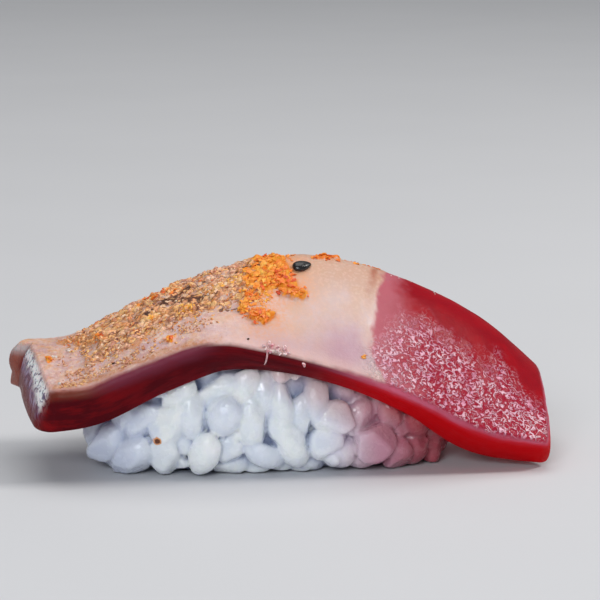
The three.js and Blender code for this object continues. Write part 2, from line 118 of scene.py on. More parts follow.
# Towards the raw end the grains stay lower under the slice, by this share of their width.
RAW_END_RICE = {"start": -2, "end": 6, "headroom": 0.95}
FOOT_GRAINS = {"count": 17, "height": 1.7, "lean": 80, "lean spread": 32}
GRAIN_LENGTH = (5.6, 7.6)
GRAIN_WIDTH = (3.4, 4.3)
GRAIN_FLATNESS = 0.86
GRAIN_LEAN = 8
LOWEST_GRAIN = 1.1
HIGHEST_GRAIN = 17
GRAIN_HEADROOM = 0.3
GRAIN_TRIES = 40
OUTER_GRAINS = {"count": 84, "lean spread": 64, "tilt spread": 44, "inset": GRAIN_INSET, "spacing": 0.5}
INNER_GRAINS = {"count": 190, "lean spread": 90, "tilt spread": 80, "inset": 2.5, "spacing": 0.42}
# The first inner grain: angle round the mound, height, lean, tilt, length and width.
FIRST_INNER_GRAIN = (-1.5, 8, 0, 0, 6, 3.4)
RICE_SEED, INNER_SEED, SHAPE_SEED, RICE_TONE_SEED = 11, 41, 23, 71
# Seed and bend in degrees of each shape of grain.
GRAIN_SHAPES = [(1, 6), (2, -9), (3, 10), (4, 3), (5, -5), (6, 8)]

# ---- toppings, placed by (along, across) on the slice ----

CHILI_CLUSTERS = [
    (0.475, -0.33, 0.05, 0.2, 24), (0.45, -0.67, 0.018, 0.09, 7),
    (0.3, -0.08, 0.1, 0.16, 13), (0.6, -0.02, 0.07, 0.12, 4),
]
LONE_FLAKES = [(0.03, -0.42), (0.296, -0.81), (0.64, -0.85)]
FLAKE_SIZE = (0.5, 1)
CHILI_SEED = 5
SEED = {"along": 0.536, "across": -0.215, "length": 2.9, "width": 1.9, "thickness": 1.1, "turn": 20}


# ---- small helpers ----

def seeded_random(seed):
    """Draws between 0 and 1, the same ones for the same seed."""
    state = seed
    word = 0xFFFFFFFF

    def draw():
        nonlocal state
        state = (state + 0x6D2B79F5) & word
        mixed = ((state ^ (state >> 15)) * (1 | state)) & word
        mixed = ((mixed + (((mixed ^ (mixed >> 7)) * (61 | mixed)) & word)) & word) ^ mixed
        return (mixed ^ (mixed >> 14)) / 4294967296
    return draw


def centred_draw(draw):
    """A draw between -1 and 1 that favours the middle."""
    return (draw() + draw() + draw()) / 1.5 - 1


def draw_between(draw, limits):
    return limits[0] + (limits[1] - limits[0]) * draw()


def bell(x, centre, width):
    return np.exp(-(((x - centre) / width) ** 2))


def power(x, exponent):
    return np.sign(x) * np.abs(x) ** exponent


def ease(x, low, high):
    """0 below low, 1 above high and smooth between."""
    t = np.clip((np.asarray(x, float) - low) / (high - low), 0, 1)
    return t * t * (3 - 2 * t)


def unit(vectors):
    return vectors / np.maximum(np.linalg.norm(vectors, axis=-1, keepdims=True), 1e-12)


def read_line(x, line):
    """The second value of a line of pairs, where its first value is x."""
    return np.interp(x, *np.array(line).T)


def bumps(points, size, seed=0.0, octaves=1):
    """Smooth noise of about -1 to 1 at points in mm, with bumps of a size in mm."""
    scaled = np.asarray(points, float) / size + seed * 17.3
    if octaves == 1:
        return np.array([noise.noise(p) for p in scaled.tolist()])
    return np.array([noise.fractal(p, 0.7, 2.1, octaves) for p in scaled.tolist()])


def line_through(points):
    """A smooth line through points, as a function of 0 to 1 from its first point to its last."""
    p = np.array(points, float)
    p = np.vstack([2 * p[0] - p[1], p, 2 * p[-1] - p[-2]])
    spans = len(points) - 1

    def at(t):
        s = np.clip(np.asarray(t, float), 0, 1) * spans
        i = np.minimum(s.astype(int), spans - 1)
        w = (s - i)[..., None]
        a, b, c, d = p[i], p[i + 1], p[i + 2], p[i + 3]
        leave, arrive = 0.5 * (c - a), 0.5 * (d - b)
        return (b + leave * w + (3 * (c - b) - 2 * leave - arrive) * w ** 2
                + (2 * (b - c) + leave + arrive) * w ** 3)
    return at


# ---- the slice's form ----
# along runs from 0 at the skin end to 1 at the raw end, across from -1 in front to 1 behind,
# and depth from 0 on top to 1 underneath.

front_edge = line_through(FRONT_EDGE)
crown = line_through(CROWN)
back_edge = line_through(BACK_EDGE)
thickness = line_through([(t,) for t in THICKNESS])


def drop_over(w):
    return np.sqrt(1 + (CROWN_BEND * w) ** 2) - 1


def top_point(along, across):
    corner = np.abs(across) ** 6
    front = across < 0
    at_skin = corner * np.where(front, CORNERS["skin front"], CORNERS["skin back"])
    at_raw = corner * np.where(front, CORNERS["raw front"], CORNERS["raw back"])
    t = at_skin + (1 - at_skin - at_raw) * along
    middle = crown(t)
    edge = np.where(front[..., None], front_edge(t), back_edge(t))
    point = middle + (edge - middle) * np.abs(across)[..., None]
    drop = drop_over(np.abs(across)) / drop_over(1)
    point[..., 2] = middle[..., 2] + (edge[..., 2] - middle[..., 2]) * drop
    return point


def top_normal(along, across):
    step = 1e-3
    ahead, behind = (top_point(np.clip(along + way, 0, 1), across) for way in (step, -step))
    right, left = (top_point(along, np.clip(across + way, -1, 1)) for way in (step, -step))
    return unit(np.cross(ahead - behind, right - left))


def underside_point(along, across, clearance=0.0):
    depth = thickness(along) + clearance
    point = top_point(along, across) - top_normal(along, across) * depth
    point[..., 0] -= SKIN_END_LEAN * np.maximum(0, 1 - along / LEAN_REACH) ** 2
    point[..., 0] += RAW_END_LEAN * np.maximum(0, 1 - (1 - along) / LEAN_REACH) ** 2
    return point


def crust_height(along, across):
    lengthwise = ease(along, CRUST["start"], CRUST["start"] + CRUST["fade in"])
    towards_raw = 1 - ease(along, CRUST["end"], CRUST["end"] + CRUST["fade out"])
    sideways = bell(across, CRUST["centre"], CRUST["half width"])
    crags = sum(h * np.sin(a * along + b * across + c) for h, a, b, c in CRUST_WAVES)
    height = crags * lengthwise * towards_raw * sideways
    for start, end, middle, slope, depth in GROOVES:
        inside = ease(along, start, start + GROOVE_FADE) * (1 - ease(along, end - GROOVE_FADE, end))
        height = height - depth * inside * bell(across, middle + slope * (along - start), GROOVE_WIDTH)
    return height


def skin_end_swelling(across, depth):
    lobe = END_LOBE["reach"] * bell(across, END_LOBE["across"], END_LOBE["width"]) * (1 - across ** 8)
    crease = END_CREASE["depth"] * bell(across, END_CREASE["across"], END_CREASE["width"])
    foot = END_FOOT["reach"] * bell(across, END_FOOT["across"], END_FOOT["width"]) * depth * (1.7 - depth)
    return lobe * np.sin(np.pi * np.minimum(1, 0.25 + depth)) - crease * (1 - depth) + foot


# ---- zones of the slice, each from 0 to 1 ----

# Where the seared part ends, as (across, along).
SEARED_LIMIT = [
    (-1, 0.684), (-0.975, 0.682), (-0.795, 0.65), (-0.64, 0.659), (-0.4, 0.669), (0, 0.691), (1, 0.7),
]
# Scorched lines of the crust, as (along, across) with a width in mm, and the share of the faint ones.
SCORCHED_LINES = [
    ([(0.255, -0.32), (0.27, -0.295), (0.292, -0.23), (0.312, -0.2), (0.339, -0.185)], 0.5),
    ([(0.288, -0.255), (0.309, -0.275), (0.328, -0.31), (0.345, -0.37), (0.36, -0.4)], 0.8),
]
FAINT_LINES = [
    ([(0.339, -0.175), (0.356, -0.185), (0.383, -0.165), (0.408, -0.15), (0.432, -0.145),
      (0.466, -0.15)], 0.32),
    ([(0.33, -0.38), (0.355, -0.48), (0.38, -0.56), (0.4, -0.61), (0.421, -0.66)], 0.26),
]
FAINTNESS = 0.8
# The lower limit of the granular crust, as (along, across).
CRUST_LIMIT = [
    (0, -0.62), (0.096, -0.6), (0.139, -0.66), (0.175, -0.72), (0.214, -0.7), (0.254, -0.68), (0.292, -0.7),
    (0.331, -0.66), (0.369, -0.66), (0.401, -0.66), (0.43, -0.64),
]
GRANULAR_PATCHES = [(0.185, -0.5, 2.6), (0.217, -0.635, 2.0), (0.276, -0.5, 2.4), (0.15, -0.6, 1.6)]
GOLDEN_LINES = [
    ([(0.35, -0.33), (0.393, -0.345), (0.43, -0.3)], 1.9),
    ([(0.25, -0.36), (0.3, -0.4), (0.33, -0.47), (0.37, -0.53)], 1.5),
    ([(0.13, -0.2), (0.17, -0.3), (0.21, -0.32)], 1.5),
    ([(0.09, -0.05), (0.2, -0.08), (0.3, -0.05)], 1.5),
]
STAIN_LINES = [
    ([(0.47, -0.1), (0.462, -0.2), (0.458, -0.36)], 3.0),
    ([(0.487, -0.12), (0.497, -0.32), (0.507, -0.44)], 1.6),
    ([(0.507, -0.44), (0.519, -0.475), (0.535, -0.49)], 0.75), ([(0.44, -0.42), (0.428, -0.6)], 1.0),
    ([(0.44, -0.7), (0.46, -0.725), (0.476, -0.68)], 0.8), ([(0.165, -0.33), (0.172, -0.33)], 0.7),
    ([(0.029, -0.42), (0.038, -0.42)], 0.7), ([(0.57, -0.05), (0.6, 0.02)], 0.8),
    ([(0.29, -0.8), (0.295, -0.8)], 0.5), ([(0.26, -0.05), (0.3, -0.03)], 0.9),
    ([(0.32, -0.49), (0.345, -0.54)], 0.5),
]
# Where the chili's oil has tinted the flesh round it.
GLOW_LINES = [([(0.45, -0.3), (0.462, -0.5), (0.466, -0.64)], 4.2), ([(0.5, -0.1), (0.52, -0.42)], 3.0)]
# How deep the silver band reaches, as (across, depth).
SILVER_LIMIT = [(-1, 0.56), (-0.9, 0.5), (-0.7, 0.34), (-0.3, 0.26), (0.1, 0.3), (0.4, 0.25), (1, 0.2)]
TAWNY_EDGE = ([
    (0.019, -0.925), (0.064, -0.945), (0.124, -0.89), (0.165, -0.895), (0.201, -0.9), (0.26, -0.93),
    (0.38, -0.97),
], 0.75)
GLITTER_LIMIT = [
    (0.62, -0.95), (0.645, -0.78), (0.68, -0.6), (0.713, -0.48), (0.77, -0.41), (0.796, -0.45),
    (0.864, -0.54), (0.905, -0.44), (0.945, -0.56), (1, -0.66),
]
# Where the cut side's colours start, in mm below the rim, and half of what they need to blend in.
SIDE_START = [
    (0, -0.9), (0.12, -0.9), (0.24, -0.7), (0.33, -0.5), (0.37, -0.15), (0.58, -0.15), (0.68, -0.5),
    (1, -0.1),
]
SIDE_BLEND = [(0, 0.45), (0.3, 0.4), (0.37, 0.18), (0.6, 0.18), (0.72, 0.4), (1, 0.4)]
# Relief of the slice in mm: crags and boulders of the crust, lumps beside it, wet grain of the raw end,
# raised pulp under the chili and the thickness of the seared layer.
RELIEF = {"crag": 0.3, "boulder": 0.28, "lump": 0.06, "wet": 0.04, "pulp": 0.42, "seared": 0.1}
WALL_RELIEF = {"fibres": 0.1, "dents": 0.05}


def below_rim(along, across, depth):
    """How far down the cut side a point lies, in mm. On top it is less than 0, by the way to the rim."""
    from_rim = np.minimum((1 - np.abs(across)) * SLICE_HALF_WIDTH, (1 - along) * SLICE_LENGTH)
    return depth * thickness(along)[..., 0] - np.where(depth > 0.99, 0, from_rim)


def on_flat(along, across):
    """Places on the unrolled top, in mm."""
    return np.stack([np.asarray(along) * SLICE_LENGTH, np.asarray(across) * SLICE_HALF_WIDTH], axis=-1)


def lifted(along, across, height):
    """Places over the unrolled top at a height, in mm."""
    height = height + np.zeros(np.shape(along))
    return np.concatenate([on_flat(along, across), height[..., None]], axis=-1)


def closeness(along, across, path, width):
    """1 on a path of (along, across) points, falling off over a width in mm."""
    spot = on_flat(along, across)
    corners = on_flat(*np.array(path, float).T)
    nearest = np.full(spot.shape[:-1], 1e9)
    for a, b in zip(corners[:-1], corners[1:]):
        way = b - a
        share = np.clip(((spot - a) @ way) / (way @ way), 0, 1)
        nearest = np.minimum(nearest, np.linalg.norm(spot - a - share[..., None] * way, axis=-1))
    return np.exp(-((nearest / width) ** 2))


def closest(along, across, lines):
    return np.max([closeness(along, across, path, width) for path, width in lines], axis=0)


def wander(along, across, depth):
    """Noises of 5, 1.7 and 0.7 mm that make the zones' edges uneven."""
    spot = lifted(along, across, depth * 5)
    return [bumps(spot, size, seed) for size, seed in ((5, 1), (1.7, 2), (0.7, 3))]


def crust_zones(u, v):
    patches = [([(a - 0.01, b), (a + 0.01, b)], size) for a, b, size in GRANULAR_PATCHES]
    low = read_line(u, CRUST_LIMIT)
    crusty = ease(v, low - 0.06, low + 0.12) * (1 - ease(v, 0.25, 0.6))
    lines = {"golden": GOLDEN_LINES, "granular": patches, "tawny": [TAWNY_EDGE], "stain": STAIN_LINES,
             "glow": GLOW_LINES}
    return {
        **{name: closest(u, v, paths) for name, paths in lines.items()},
        "scorched": np.maximum(closest(u, v, SCORCHED_LINES), FAINTNESS * closest(u, v, FAINT_LINES)),
        "crusty": crusty * ease(u, 0.02, 0.22) * (1 - ease(u, 0.43, 0.49)),
    }


def end_zones(along, across, depth, coarse, middling):
    """The skin end: a silver band along its top, lilac below it, and a browned lobe behind."""
    end = 1 - ease(along, 0.0, 0.012)
    front = 1 - ease(across + 0.05 * middling, 0.16, 0.3)
    low = read_line(across, SILVER_LIMIT)
    band = 1 - ease(depth + 0.1 * middling, low - 0.1, low + 0.06)
    violet = 1 - ease(depth + 0.1 * coarse, low + 0.05, low + 0.36)
    # The lobe's pale grey top is ash-grey skin with a painted sheen where light falls on it.
    ash = (1 - front) * (1 - ease(depth + 0.08 * coarse, 0.08, 0.34))
    crease = bell(across, 0.26 + 0.12 * depth, 0.07) * (1 - ease(depth, 0.5, 0.75))
    return {
        "silver": end * front * band, "purple": end * front * violet * (1 - band),
        "ash": end * ash, "skin": end, "crease": end * crease, "lobe": end * (1 - front),
    }


def slice_zones(along, across, depth):
    """The finishes of the slice at each point."""
    coarse, middling, fine = wander(along, across, depth)
    u = along + 0.006 * middling + 0.004 * fine
    v = across + 0.04 * middling + 0.025 * fine
    limit = read_line(across, SEARED_LIMIT)
    down = below_rim(along, across, depth)
    start, blend = read_line(along, SIDE_START), read_line(along, SIDE_BLEND)
    ragged = (0.16 * middling + 0.1 * fine) * (blend + 0.1) / 0.5
    side = ease(down + ragged, start - blend, start + blend)
    side = np.maximum(side, (1 - ease(along + 0.003 * fine, 0.002, 0.007)) * ease(depth, 0.01, 0.06))
    glitter_top = read_line(along, GLITTER_LIMIT)
    glitter = ease(u, limit - 0.045, limit + 0.01)
    glitter = glitter * (1 - ease(v + 0.08 * coarse + 0.05 * middling, glitter_top - 0.2, glitter_top + 0.14))
    rim = bell(across, -1, 0.06) * ease(u, 0.33, 0.38) * (1 - ease(u, 0.66, 0.7))
    zones = {
        **crust_zones(u, v), "glitter": glitter,
        "tanned": (1 - ease(u + 0.03 * coarse, 0.33, 0.5)) * (0.8 + 0.2 * middling),
        "dusty": 1 - ease(u + 0.01 * coarse, limit + 0.01, limit + 0.05 + 0.06 * ease(-v, 0.1, 0.5)),
        # The fold: a brown line at the sear's edge, partly painted shadow of a fold.
        "fold": bell(u, limit - 0.014, 0.008) * bell(v, -0.1, 0.22),
        "warm": ease(v, -0.62, -0.2),
        "lilac": bell(u, 0.61, 0.05) * bell(v, -0.84, 0.2) + 0.6 * bell(u, 0.5, 0.08) * bell(v, -0.92, 0.14),
    }
    zones = {name: values * (1 - side) for name, values in zones.items()}
    zones.update(end_zones(along, across, depth, coarse, middling))
    seared = 1 - ease(u, limit - 0.006, limit + 0.008)
    zones.update({"seared": seared, "side": side, "rim": rim * (1 - side), "down": np.clip(down, -2, 6)})
    return zones


def fine_relief(along, across, zones):
    """Heights in mm of the small relief on the slice's top."""
    spot = lifted(along, across, 0)
    crag, wet = bumps(spot, 1.6, 4, 3), bumps(spot, 0.85, 7)
    lumps, boulders = bumps(spot, 3.1, 6), bumps(spot, 2.4, 12)
    crusty = np.maximum(zones["crusty"], 0.3 * zones["tanned"])
    pulp = ease(zones["stain"] + 0.2 * wet, 0.35, 0.75)
    height = (RELIEF["crag"] * crag + RELIEF["boulder"] * boulders) * crusty
    height = height + RELIEF["lump"] * lumps * (1 - crusty)
    height = height + RELIEF["wet"] * wet * zones["glitter"] + RELIEF["pulp"] * pulp * (1 + wet)
    return height + RELIEF["seared"] * zones["seared"] * (1 - zones["side"])


def granules(along, across, length, width, seed):
    """Long grains that touch each other: their heights of 0 to 1 and a tone of 0 to 1 for each."""
    flat = lifted(along, across, float(seed))
    sway = np.stack([bumps(flat, 1.1, seed + 0.3), bumps(flat, 1.1, seed + 0.6)], axis=-1)
    flat[..., :2] = (flat[..., :2] + 0.35 * sway) / (length, width)
    heights, tones = [], []
    for spot in flat.tolist():
        gaps, middles = noise.voronoi(spot)
        heights.append(min(1, (gaps[1] - gaps[0]) * 1.6))
        mixed = math.sin(middles[0].dot(Vector((12.99, 78.23, 37.72)))) * 437.585
        tones.append(mixed - math.floor(mixed))
    return np.array(heights) ** 0.7, np.array(tones)


def top_surface(along, across):
    """Points of the finished top, with its relief."""
    zones = slice_zones(along, across, np.zeros_like(along))
    height = crust_height(along, across) + fine_relief(along, across, zones)
    return top_point(along, across) + top_normal(along, across) * height[:, None]


# ---- meshes ----

def start_piece():
    """Leaves nothing selected, so that operators act on the new primitive alone."""
    if bpy.context.object and bpy.context.object.mode != "OBJECT":
        bpy.ops.object.mode_set(mode="OBJECT")
    bpy.ops.object.select_all(action="DESELECT")


def vertex_places(mesh):
    places = np.empty(len(mesh.vertices) * 3)
    mesh.vertices.foreach_get("co", places)
    return places.reshape(-1, 3)


def set_places(mesh, places):
    mesh.vertices.foreach_set("co", np.asarray(places, np.float32).ravel())
    mesh.update()


def set_attribute(mesh, name, values):
    values = np.asarray(values, np.float32)
    kind = "FLOAT_VECTOR" if values.ndim == 2 else "FLOAT"
    field = "vector" if values.ndim == 2 else "value"
    attribute = mesh.attributes.get(name) or mesh.attributes.new(name, kind, "POINT")
    attribute.data.foreach_set(field, values.ravel())


@contextmanager
def editing():
    """Edit mode on the active object, with everything selected."""
    bpy.ops.object.mode_set(mode="EDIT")
    bpy.ops.mesh.select_all(action="SELECT")
    yield
    bpy.ops.object.mode_set(mode="OBJECT")


def grid_block(cells, layers):
    """A flat block of a grid, raised by a number of layers along Z."""
    start_piece()
    bpy.ops.mesh.primitive_grid_add(x_subdivisions=cells[0], y_subdivisions=cells[1], size=2)
    with editing():
        for _ in range(layers):
            bpy.ops.mesh.extrude_region_move(TRANSFORM_OT_translate={"value": (0, 0, 1)})
        bpy.ops.mesh.select_all(action="SELECT")
        bpy.ops.mesh.normals_make_consistent(inside=False)
    return bpy.context.object


def apply_modifier(piece, kind, **settings):
    modifier = piece.modifiers.new(kind.lower(), kind)
    for name, value in settings.items():
        setattr(modifier, name, value)
    bpy.ops.object.modifier_apply(modifier=modifier.name)


def select(pieces):
    """Selects pieces alone and makes the first one active."""
    start_piece()
    for piece in pieces:
        piece.select_set(True)
    bpy.context.view_layer.objects.active = pieces[0]


def join(pieces):
    select(pieces)
    bpy.ops.object.join()
    return pieces[0]


def finish_piece(piece, name, *materials, slot="tuna", node="tuna_slice", crease=180):
    """Smooths a piece up to an angle in degrees, gives it its finishes and puts it on the body."""
    select([piece])
    bpy.ops.object.shade_smooth_by_angle(angle=math.radians(crease))
    piece.name = piece.data.name = name
    for material in materials:
        piece.data.materials.append(material)
    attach(piece, "root")
    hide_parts(node)


def take_template(piece):
    """A modelled template's points and faces. The template itself is removed."""
    points = vertex_places(piece.data)
    faces = [tuple(face.vertices) for face in piece.data.polygons]
    bpy.data.objects.remove(piece)
    return points, faces


def join_copies(templates, draw, placings, values):
    """One piece out of copies of templates, each drawn at random.

    Each placing is a 4 by 4 matrix in mm, and values hold one number for each copy."""
    points, faces, spread = [], [], {key: [] for key in values}
    count = 0
    for i, placing in enumerate(placings):
        shape, sides = templates[int(draw() * len(templates))]
        points.append(shape @ placing[:3, :3].T + placing[:3, 3])
        faces.extend(tuple(count + corner for corner in side) for side in sides)
        count += len(shape)
        for key in values:
            spread[key].append(np.full(len(shape), values[key][i]))
    mesh = bpy.data.meshes.new("copies")
    mesh.from_pydata((np.concatenate(points) * MM).tolist(), [], faces)
    for key, parts in spread.items():
        set_attribute(mesh, key, np.concatenate(parts))
    piece = bpy.data.objects.new("copies", mesh)
    bpy.context.collection.objects.link(piece)
    return piece


# ---- materials ----

def srgb(red, green, blue):
    """A colour given as screen values of 0 to 255."""
    def linear(value):
        share = value / 255
        return share / 12.92 if share <= 0.04045 else ((share + 0.055) / 1.055) ** 2.4
    return (linear(red), linear(green), linear(blue), 1.0)


def tone_row(*rows):
    return [(place, srgb(*colour)) for place, *colour in rows]


class Wire:
    """What comes out of a shader node. Sums and products of wires place the nodes that work them out."""

    def __init__(self, graph, socket):
        self.graph, self.socket = graph, socket

    def __add__(self, other):
        return self.graph.math("ADD", self, other)

    def __sub__(self, number):
        return self + -number

    def __mul__(self, other):
        return self.graph.math("MULTIPLY", self, other)


class Graph:
    """Short ways to place shader nodes and link them."""

    def __init__(self, tree):
        self.tree = tree
        self.count = 0

    def node(self, kind, given=(), output=0, **settings):
        """Places a node, feeds its inputs from pairs of a key and a value, and hands on one output."""
        made = self.tree.nodes.new(kind)
        made.location = (200 * (self.count // 6), -220 * (self.count % 6))
        self.count += 1
        for name, value in settings.items():
            setattr(made, name, value)
        for key, value in given:
            self.feed(made.inputs[key], value)
        return Wire(self, made.outputs[output])

    def feed(self, socket, value):
        """Links a wire to a socket, or sets the socket to a value."""
        if isinstance(value, Wire):
            self.tree.links.new(value.socket, socket)
        else:
            socket.default_value = value

    def math(self, operation, *values):
        return self.node("ShaderNodeMath", enumerate(values), operation=operation)

    def most(self, first, *others):
        for other in others:
            first = self.math("MAXIMUM", first, other)
        return first

    def step(self, value, low, high, first=0.0, last=1.0):
        """Smooth steps from first at low to last at high."""
        given = enumerate((value, low, high, first, last))
        return self.node("ShaderNodeMapRange", given, interpolation_type="SMOOTHSTEP")

    def mix_value(self, share, a, b):
        return self.node("ShaderNodeMix", ((0, share), (2, a), (3, b)), data_type="FLOAT")

    def mix(self, share, a, b):
        return self.node("ShaderNodeMix", ((0, share), (6, a), (7, b)), 2, data_type="RGBA")

    def fade(self, value, low, high, a, b):
        """From colour a where a value is low to colour b where it is high."""
        return self.mix(self.step(value, low, high), a, b)

    def layers(self, colour, *rows):
        """Lays one colour after another over the first, each by its share."""
        for share, layer in rows:
            colour = self.mix(share, colour, layer)
        return colour

    def ramp(self, value, stops):
        """A colour from a row of (place, colour)."""
        made = self.node("ShaderNodeValToRGB", [(0, value)])
        elements = made.socket.node.color_ramp.elements
        elements[0].position, elements[0].color = stops[0]
        elements[1].position, elements[1].color = stops[-1]
        for position, colour in stops[1:-1]:
            elements.new(position).color = colour
        return made

    def stretch(self, vector, scale):
        return self.node("ShaderNodeVectorMath", ((0, vector), (1, scale)), operation="MULTIPLY")

    def noise(self, vector, size, detail=2.0, roughness=0.5, distortion=0.0):
        scale = self.math("DIVIDE", 1.0, size) if isinstance(size, Wire) else 1 / size
        given = (("Vector", vector), ("Scale", scale), ("Detail", detail), ("Roughness", roughness),
                 ("Distortion", distortion))
        return self.node("ShaderNodeTexNoise", given, "Fac")

    def attribute(self, name, output="Fac"):
        return self.node("ShaderNodeAttribute", output=output, attribute_name=name)

    def masks(self, *names):
        """Masks that the mesh carries, as masks.name."""
        return SimpleNamespace(**{name: self.attribute(name) for name in names})


class Finish(Graph):
    """The graph of a new material, with short ways to feed its shader."""

    def __init__(self, name, gloss):
        self.material = bpy.data.materials.new(name)
        self.material.use_nodes = True
        super().__init__(self.material.node_tree)
        self.give("Specular IOR Level", gloss)
        self.place = self.stretch(self.node("ShaderNodeTexCoord", output="Object"), (1 / MM,) * 3)

    def give(self, name, value):
        self.feed(self.tree.nodes["Principled BSDF"].inputs[name], value)

    def cloud(self, size, contrast=0.2):
        """The mask of the mottle group, with patches of a size in mm."""
        given = (("Place", self.place), ("Patch size", size), ("Contrast", contrast))
        return self.node("ShaderNodeGroup", given, "Mask", node_tree=MOTTLE)

    def film(self, dry, wet, bump_size):
        """The roughness and the height of the moist film group."""
        given = (("Place", self.place), ("Dry", dry), ("Wet", wet), ("Bump size", bump_size))
        rough = self.node("ShaderNodeGroup", given, "Roughness", node_tree=MOIST)
        return rough, Wire(self, rough.socket.node.outputs["Height"])

    def relief(self, height, depth):
        """Bumps of a height of 0 to 1, as deep as depth in mm."""
        given = (("Strength", 1.0), ("Distance", depth * MM), ("Height", height))
        self.give("Normal", self.node("ShaderNodeBump", given, "Normal"))

    def moisten(self, dry, wet, bump_size, depth):
        """The moist film as it is, with bumps of a depth in mm."""
        rough, height = self.film(dry, wet, bump_size)
        self.give("Roughness", rough)
        self.relief(height, depth)

    def let_through(self, weight, radius):
        """Makes the material translucent, with a radius in mm for each of red, green and blue."""
        for name, value in (("Weight", weight), ("Radius", radius), ("Scale", MM)):
            self.give("Subsurface " + name, value)


def new_group(name, inputs, outputs):
    """The graph of an empty node group, a wire for each of its inputs and a socket for each output."""
    tree = bpy.data.node_groups.new(name, "ShaderNodeTree")
    for title, value in inputs.items():
        kind = "NodeSocketVector" if value is None else "NodeSocketFloat"
        socket = tree.interface.new_socket(title, in_out="INPUT", socket_type=kind)
        if value is not None:
            socket.default_value = value
    for title in outputs:
        tree.interface.new_socket(title, in_out="OUTPUT", socket_type="NodeSocketFloat")
    graph = Graph(tree)
    start, end = tree.nodes.new("NodeGroupInput"), tree.nodes.new("NodeGroupOutput")
    return graph, [Wire(graph, start.outputs[title]) for title in inputs], end.inputs


def mottle_group():
    """Cloudy patches: a mask that wanders between 0 and 1."""
    graph, (place, size, contrast), out = new_group(
        "mottle", {"Place": None, "Patch size": 2.0, "Contrast": 0.25}, ["Mask"])
    low, high = (graph.math(side, 0.5, contrast) for side in ("SUBTRACT", "ADD"))
    graph.feed(out["Mask"], graph.step(graph.noise(place, size, 3.0, 0.55, 0.4), low, high))
    return graph.tree


def moist_group():
    """The uneven film of moisture on food: a roughness and the height of its smallest bumps."""
    graph, (place, dry, wet, bump_size), out = new_group(
        "moist film", {"Place": None, "Dry": 0.5, "Wet": 0.2, "Bump size": 0.5}, ["Roughness", "Height"])
    graph.feed(out["Roughness"], graph.step(graph.noise(place, 1.6), 0.35, 0.65, wet, dry))
    graph.feed(out["Height"], graph.noise(place, bump_size))
    return graph.tree


MOTTLE = mottle_group()
MOIST = moist_group()


# ---- finishes of the fish ----

CREAM = srgb(212, 180, 164)
CREAM_PINK = srgb(214, 192, 192)
WARM_CREAM = srgb(200, 156, 130)
TAN = srgb(214, 158, 116)
TAN_PALE = srgb(226, 190, 178)
PEACH_GLOW = srgb(224, 146, 88)
LILAC = srgb(184, 142, 156)
GOLD = srgb(210, 130, 60)
SINGED = srgb(158, 96, 76)
# Pale flecks, partly painted highlights on the seared flesh.
PALE_FLECK_AND_GLINT = srgb(226, 196, 178)
# Tones of the toasted granules, each with its place between 0 and 1 and its screen values.
GRANULE_TONES = tone_row(
    (0, 246, 206, 174), (0.28, 234, 178, 142), (0.42, 216, 152, 124), (0.54, 168, 104, 78),
    (0.62, 230, 158, 98), (0.74, 244, 196, 132), (0.84, 226, 126, 66), (0.93, 110, 60, 40))
GOLDEN_TONES = tone_row(
    (0, 240, 192, 120), (0.35, 240, 176, 70), (0.6, 224, 130, 50), (0.8, 232, 190, 150), (0.95, 140, 76, 42))
# Painted shade in the gaps between the crust's granules.
CRUST_GAP_SHADE = srgb(116, 66, 44)
TAWNY = srgb(186, 124, 82)
SCORCH = srgb(104, 58, 34)
CHAR = srgb(66, 34, 19)
STAIN = srgb(226, 132, 62)
PASTE = srgb(226, 116, 26)
PASTE_YELLOW = srgb(240, 160, 40)
# Brown line at the sear's edge: browning and a painted shadow of a fold there.
FOLD_BROWN_AND_SHADOW = srgb(168, 92, 66)
DUSTY = srgb(186, 104, 116)
RAW_RED = srgb(156, 8, 24)
RAW_DEEP = srgb(142, 6, 24)
RAW_PINK = srgb(166, 18, 54)
# Painted highlights: pale and pink glints laid into the colour of the wet raw flesh.
PAINTED_GLINT_WHITE = srgb(255, 218, 230)
PAINTED_GLINT_PINK = srgb(236, 164, 192)
RIM = srgb(228, 190, 182)
# Maroon of the cut side, darkened with painted shade where the side faces away from the light.
MAROON_AND_SHADE = srgb(104, 10, 20)
DARK_MAROON_AND_SHADE = srgb(80, 6, 16)
BRIGHT_RED = srgb(190, 3, 13)
MAUVE_STRIP = srgb(190, 92, 116)
MAUVE = srgb(118, 48, 66)
MAUVE_TAN = srgb(168, 112, 104)
BROWN_EDGE = srgb(112, 52, 40)
ROSE = srgb(190, 34, 50)
# The silver band: painted highlights and painted shade in its crinkles, over the skin's own pale silver.
SILVER_HIGHLIGHT = srgb(252, 251, 252)
CRINKLE_SHADE = srgb(108, 98, 126)
PURPLE = srgb(98, 66, 92)
VIOLET = srgb(164, 142, 170)
TIP_RED = srgb(106, 26, 30)
TIP_GLOW = srgb(124, 12, 18)
LOBE_BROWN = srgb(128, 66, 54)
LOBE_PINK = srgb(176, 112, 98)
# Ash-grey with a painted sheen, on the lobe's top.
ASH_AND_SHEEN = srgb(196, 184, 184)


def granule_colours(finish, tone, masks):
    """Grains of toasted crust, from peach to gold, charred where the fire caught them, and darkened with
    painted shade where they lie low.
    """
    # Low granules darken too: painted shade.
    burnt_and_low_shade = tone * 0.5 + masks.scorched * 0.8 + masks.peak * -0.45
    return finish.layers(
        finish.ramp(tone, GRANULE_TONES), (masks.golden * 0.6, finish.ramp(tone, GOLDEN_TONES)),
        (finish.step(burnt_and_low_shade, 0.55, 0.85), SCORCH), (finish.step(burnt_and_low_shade, 0.85, 1.05), CHAR))


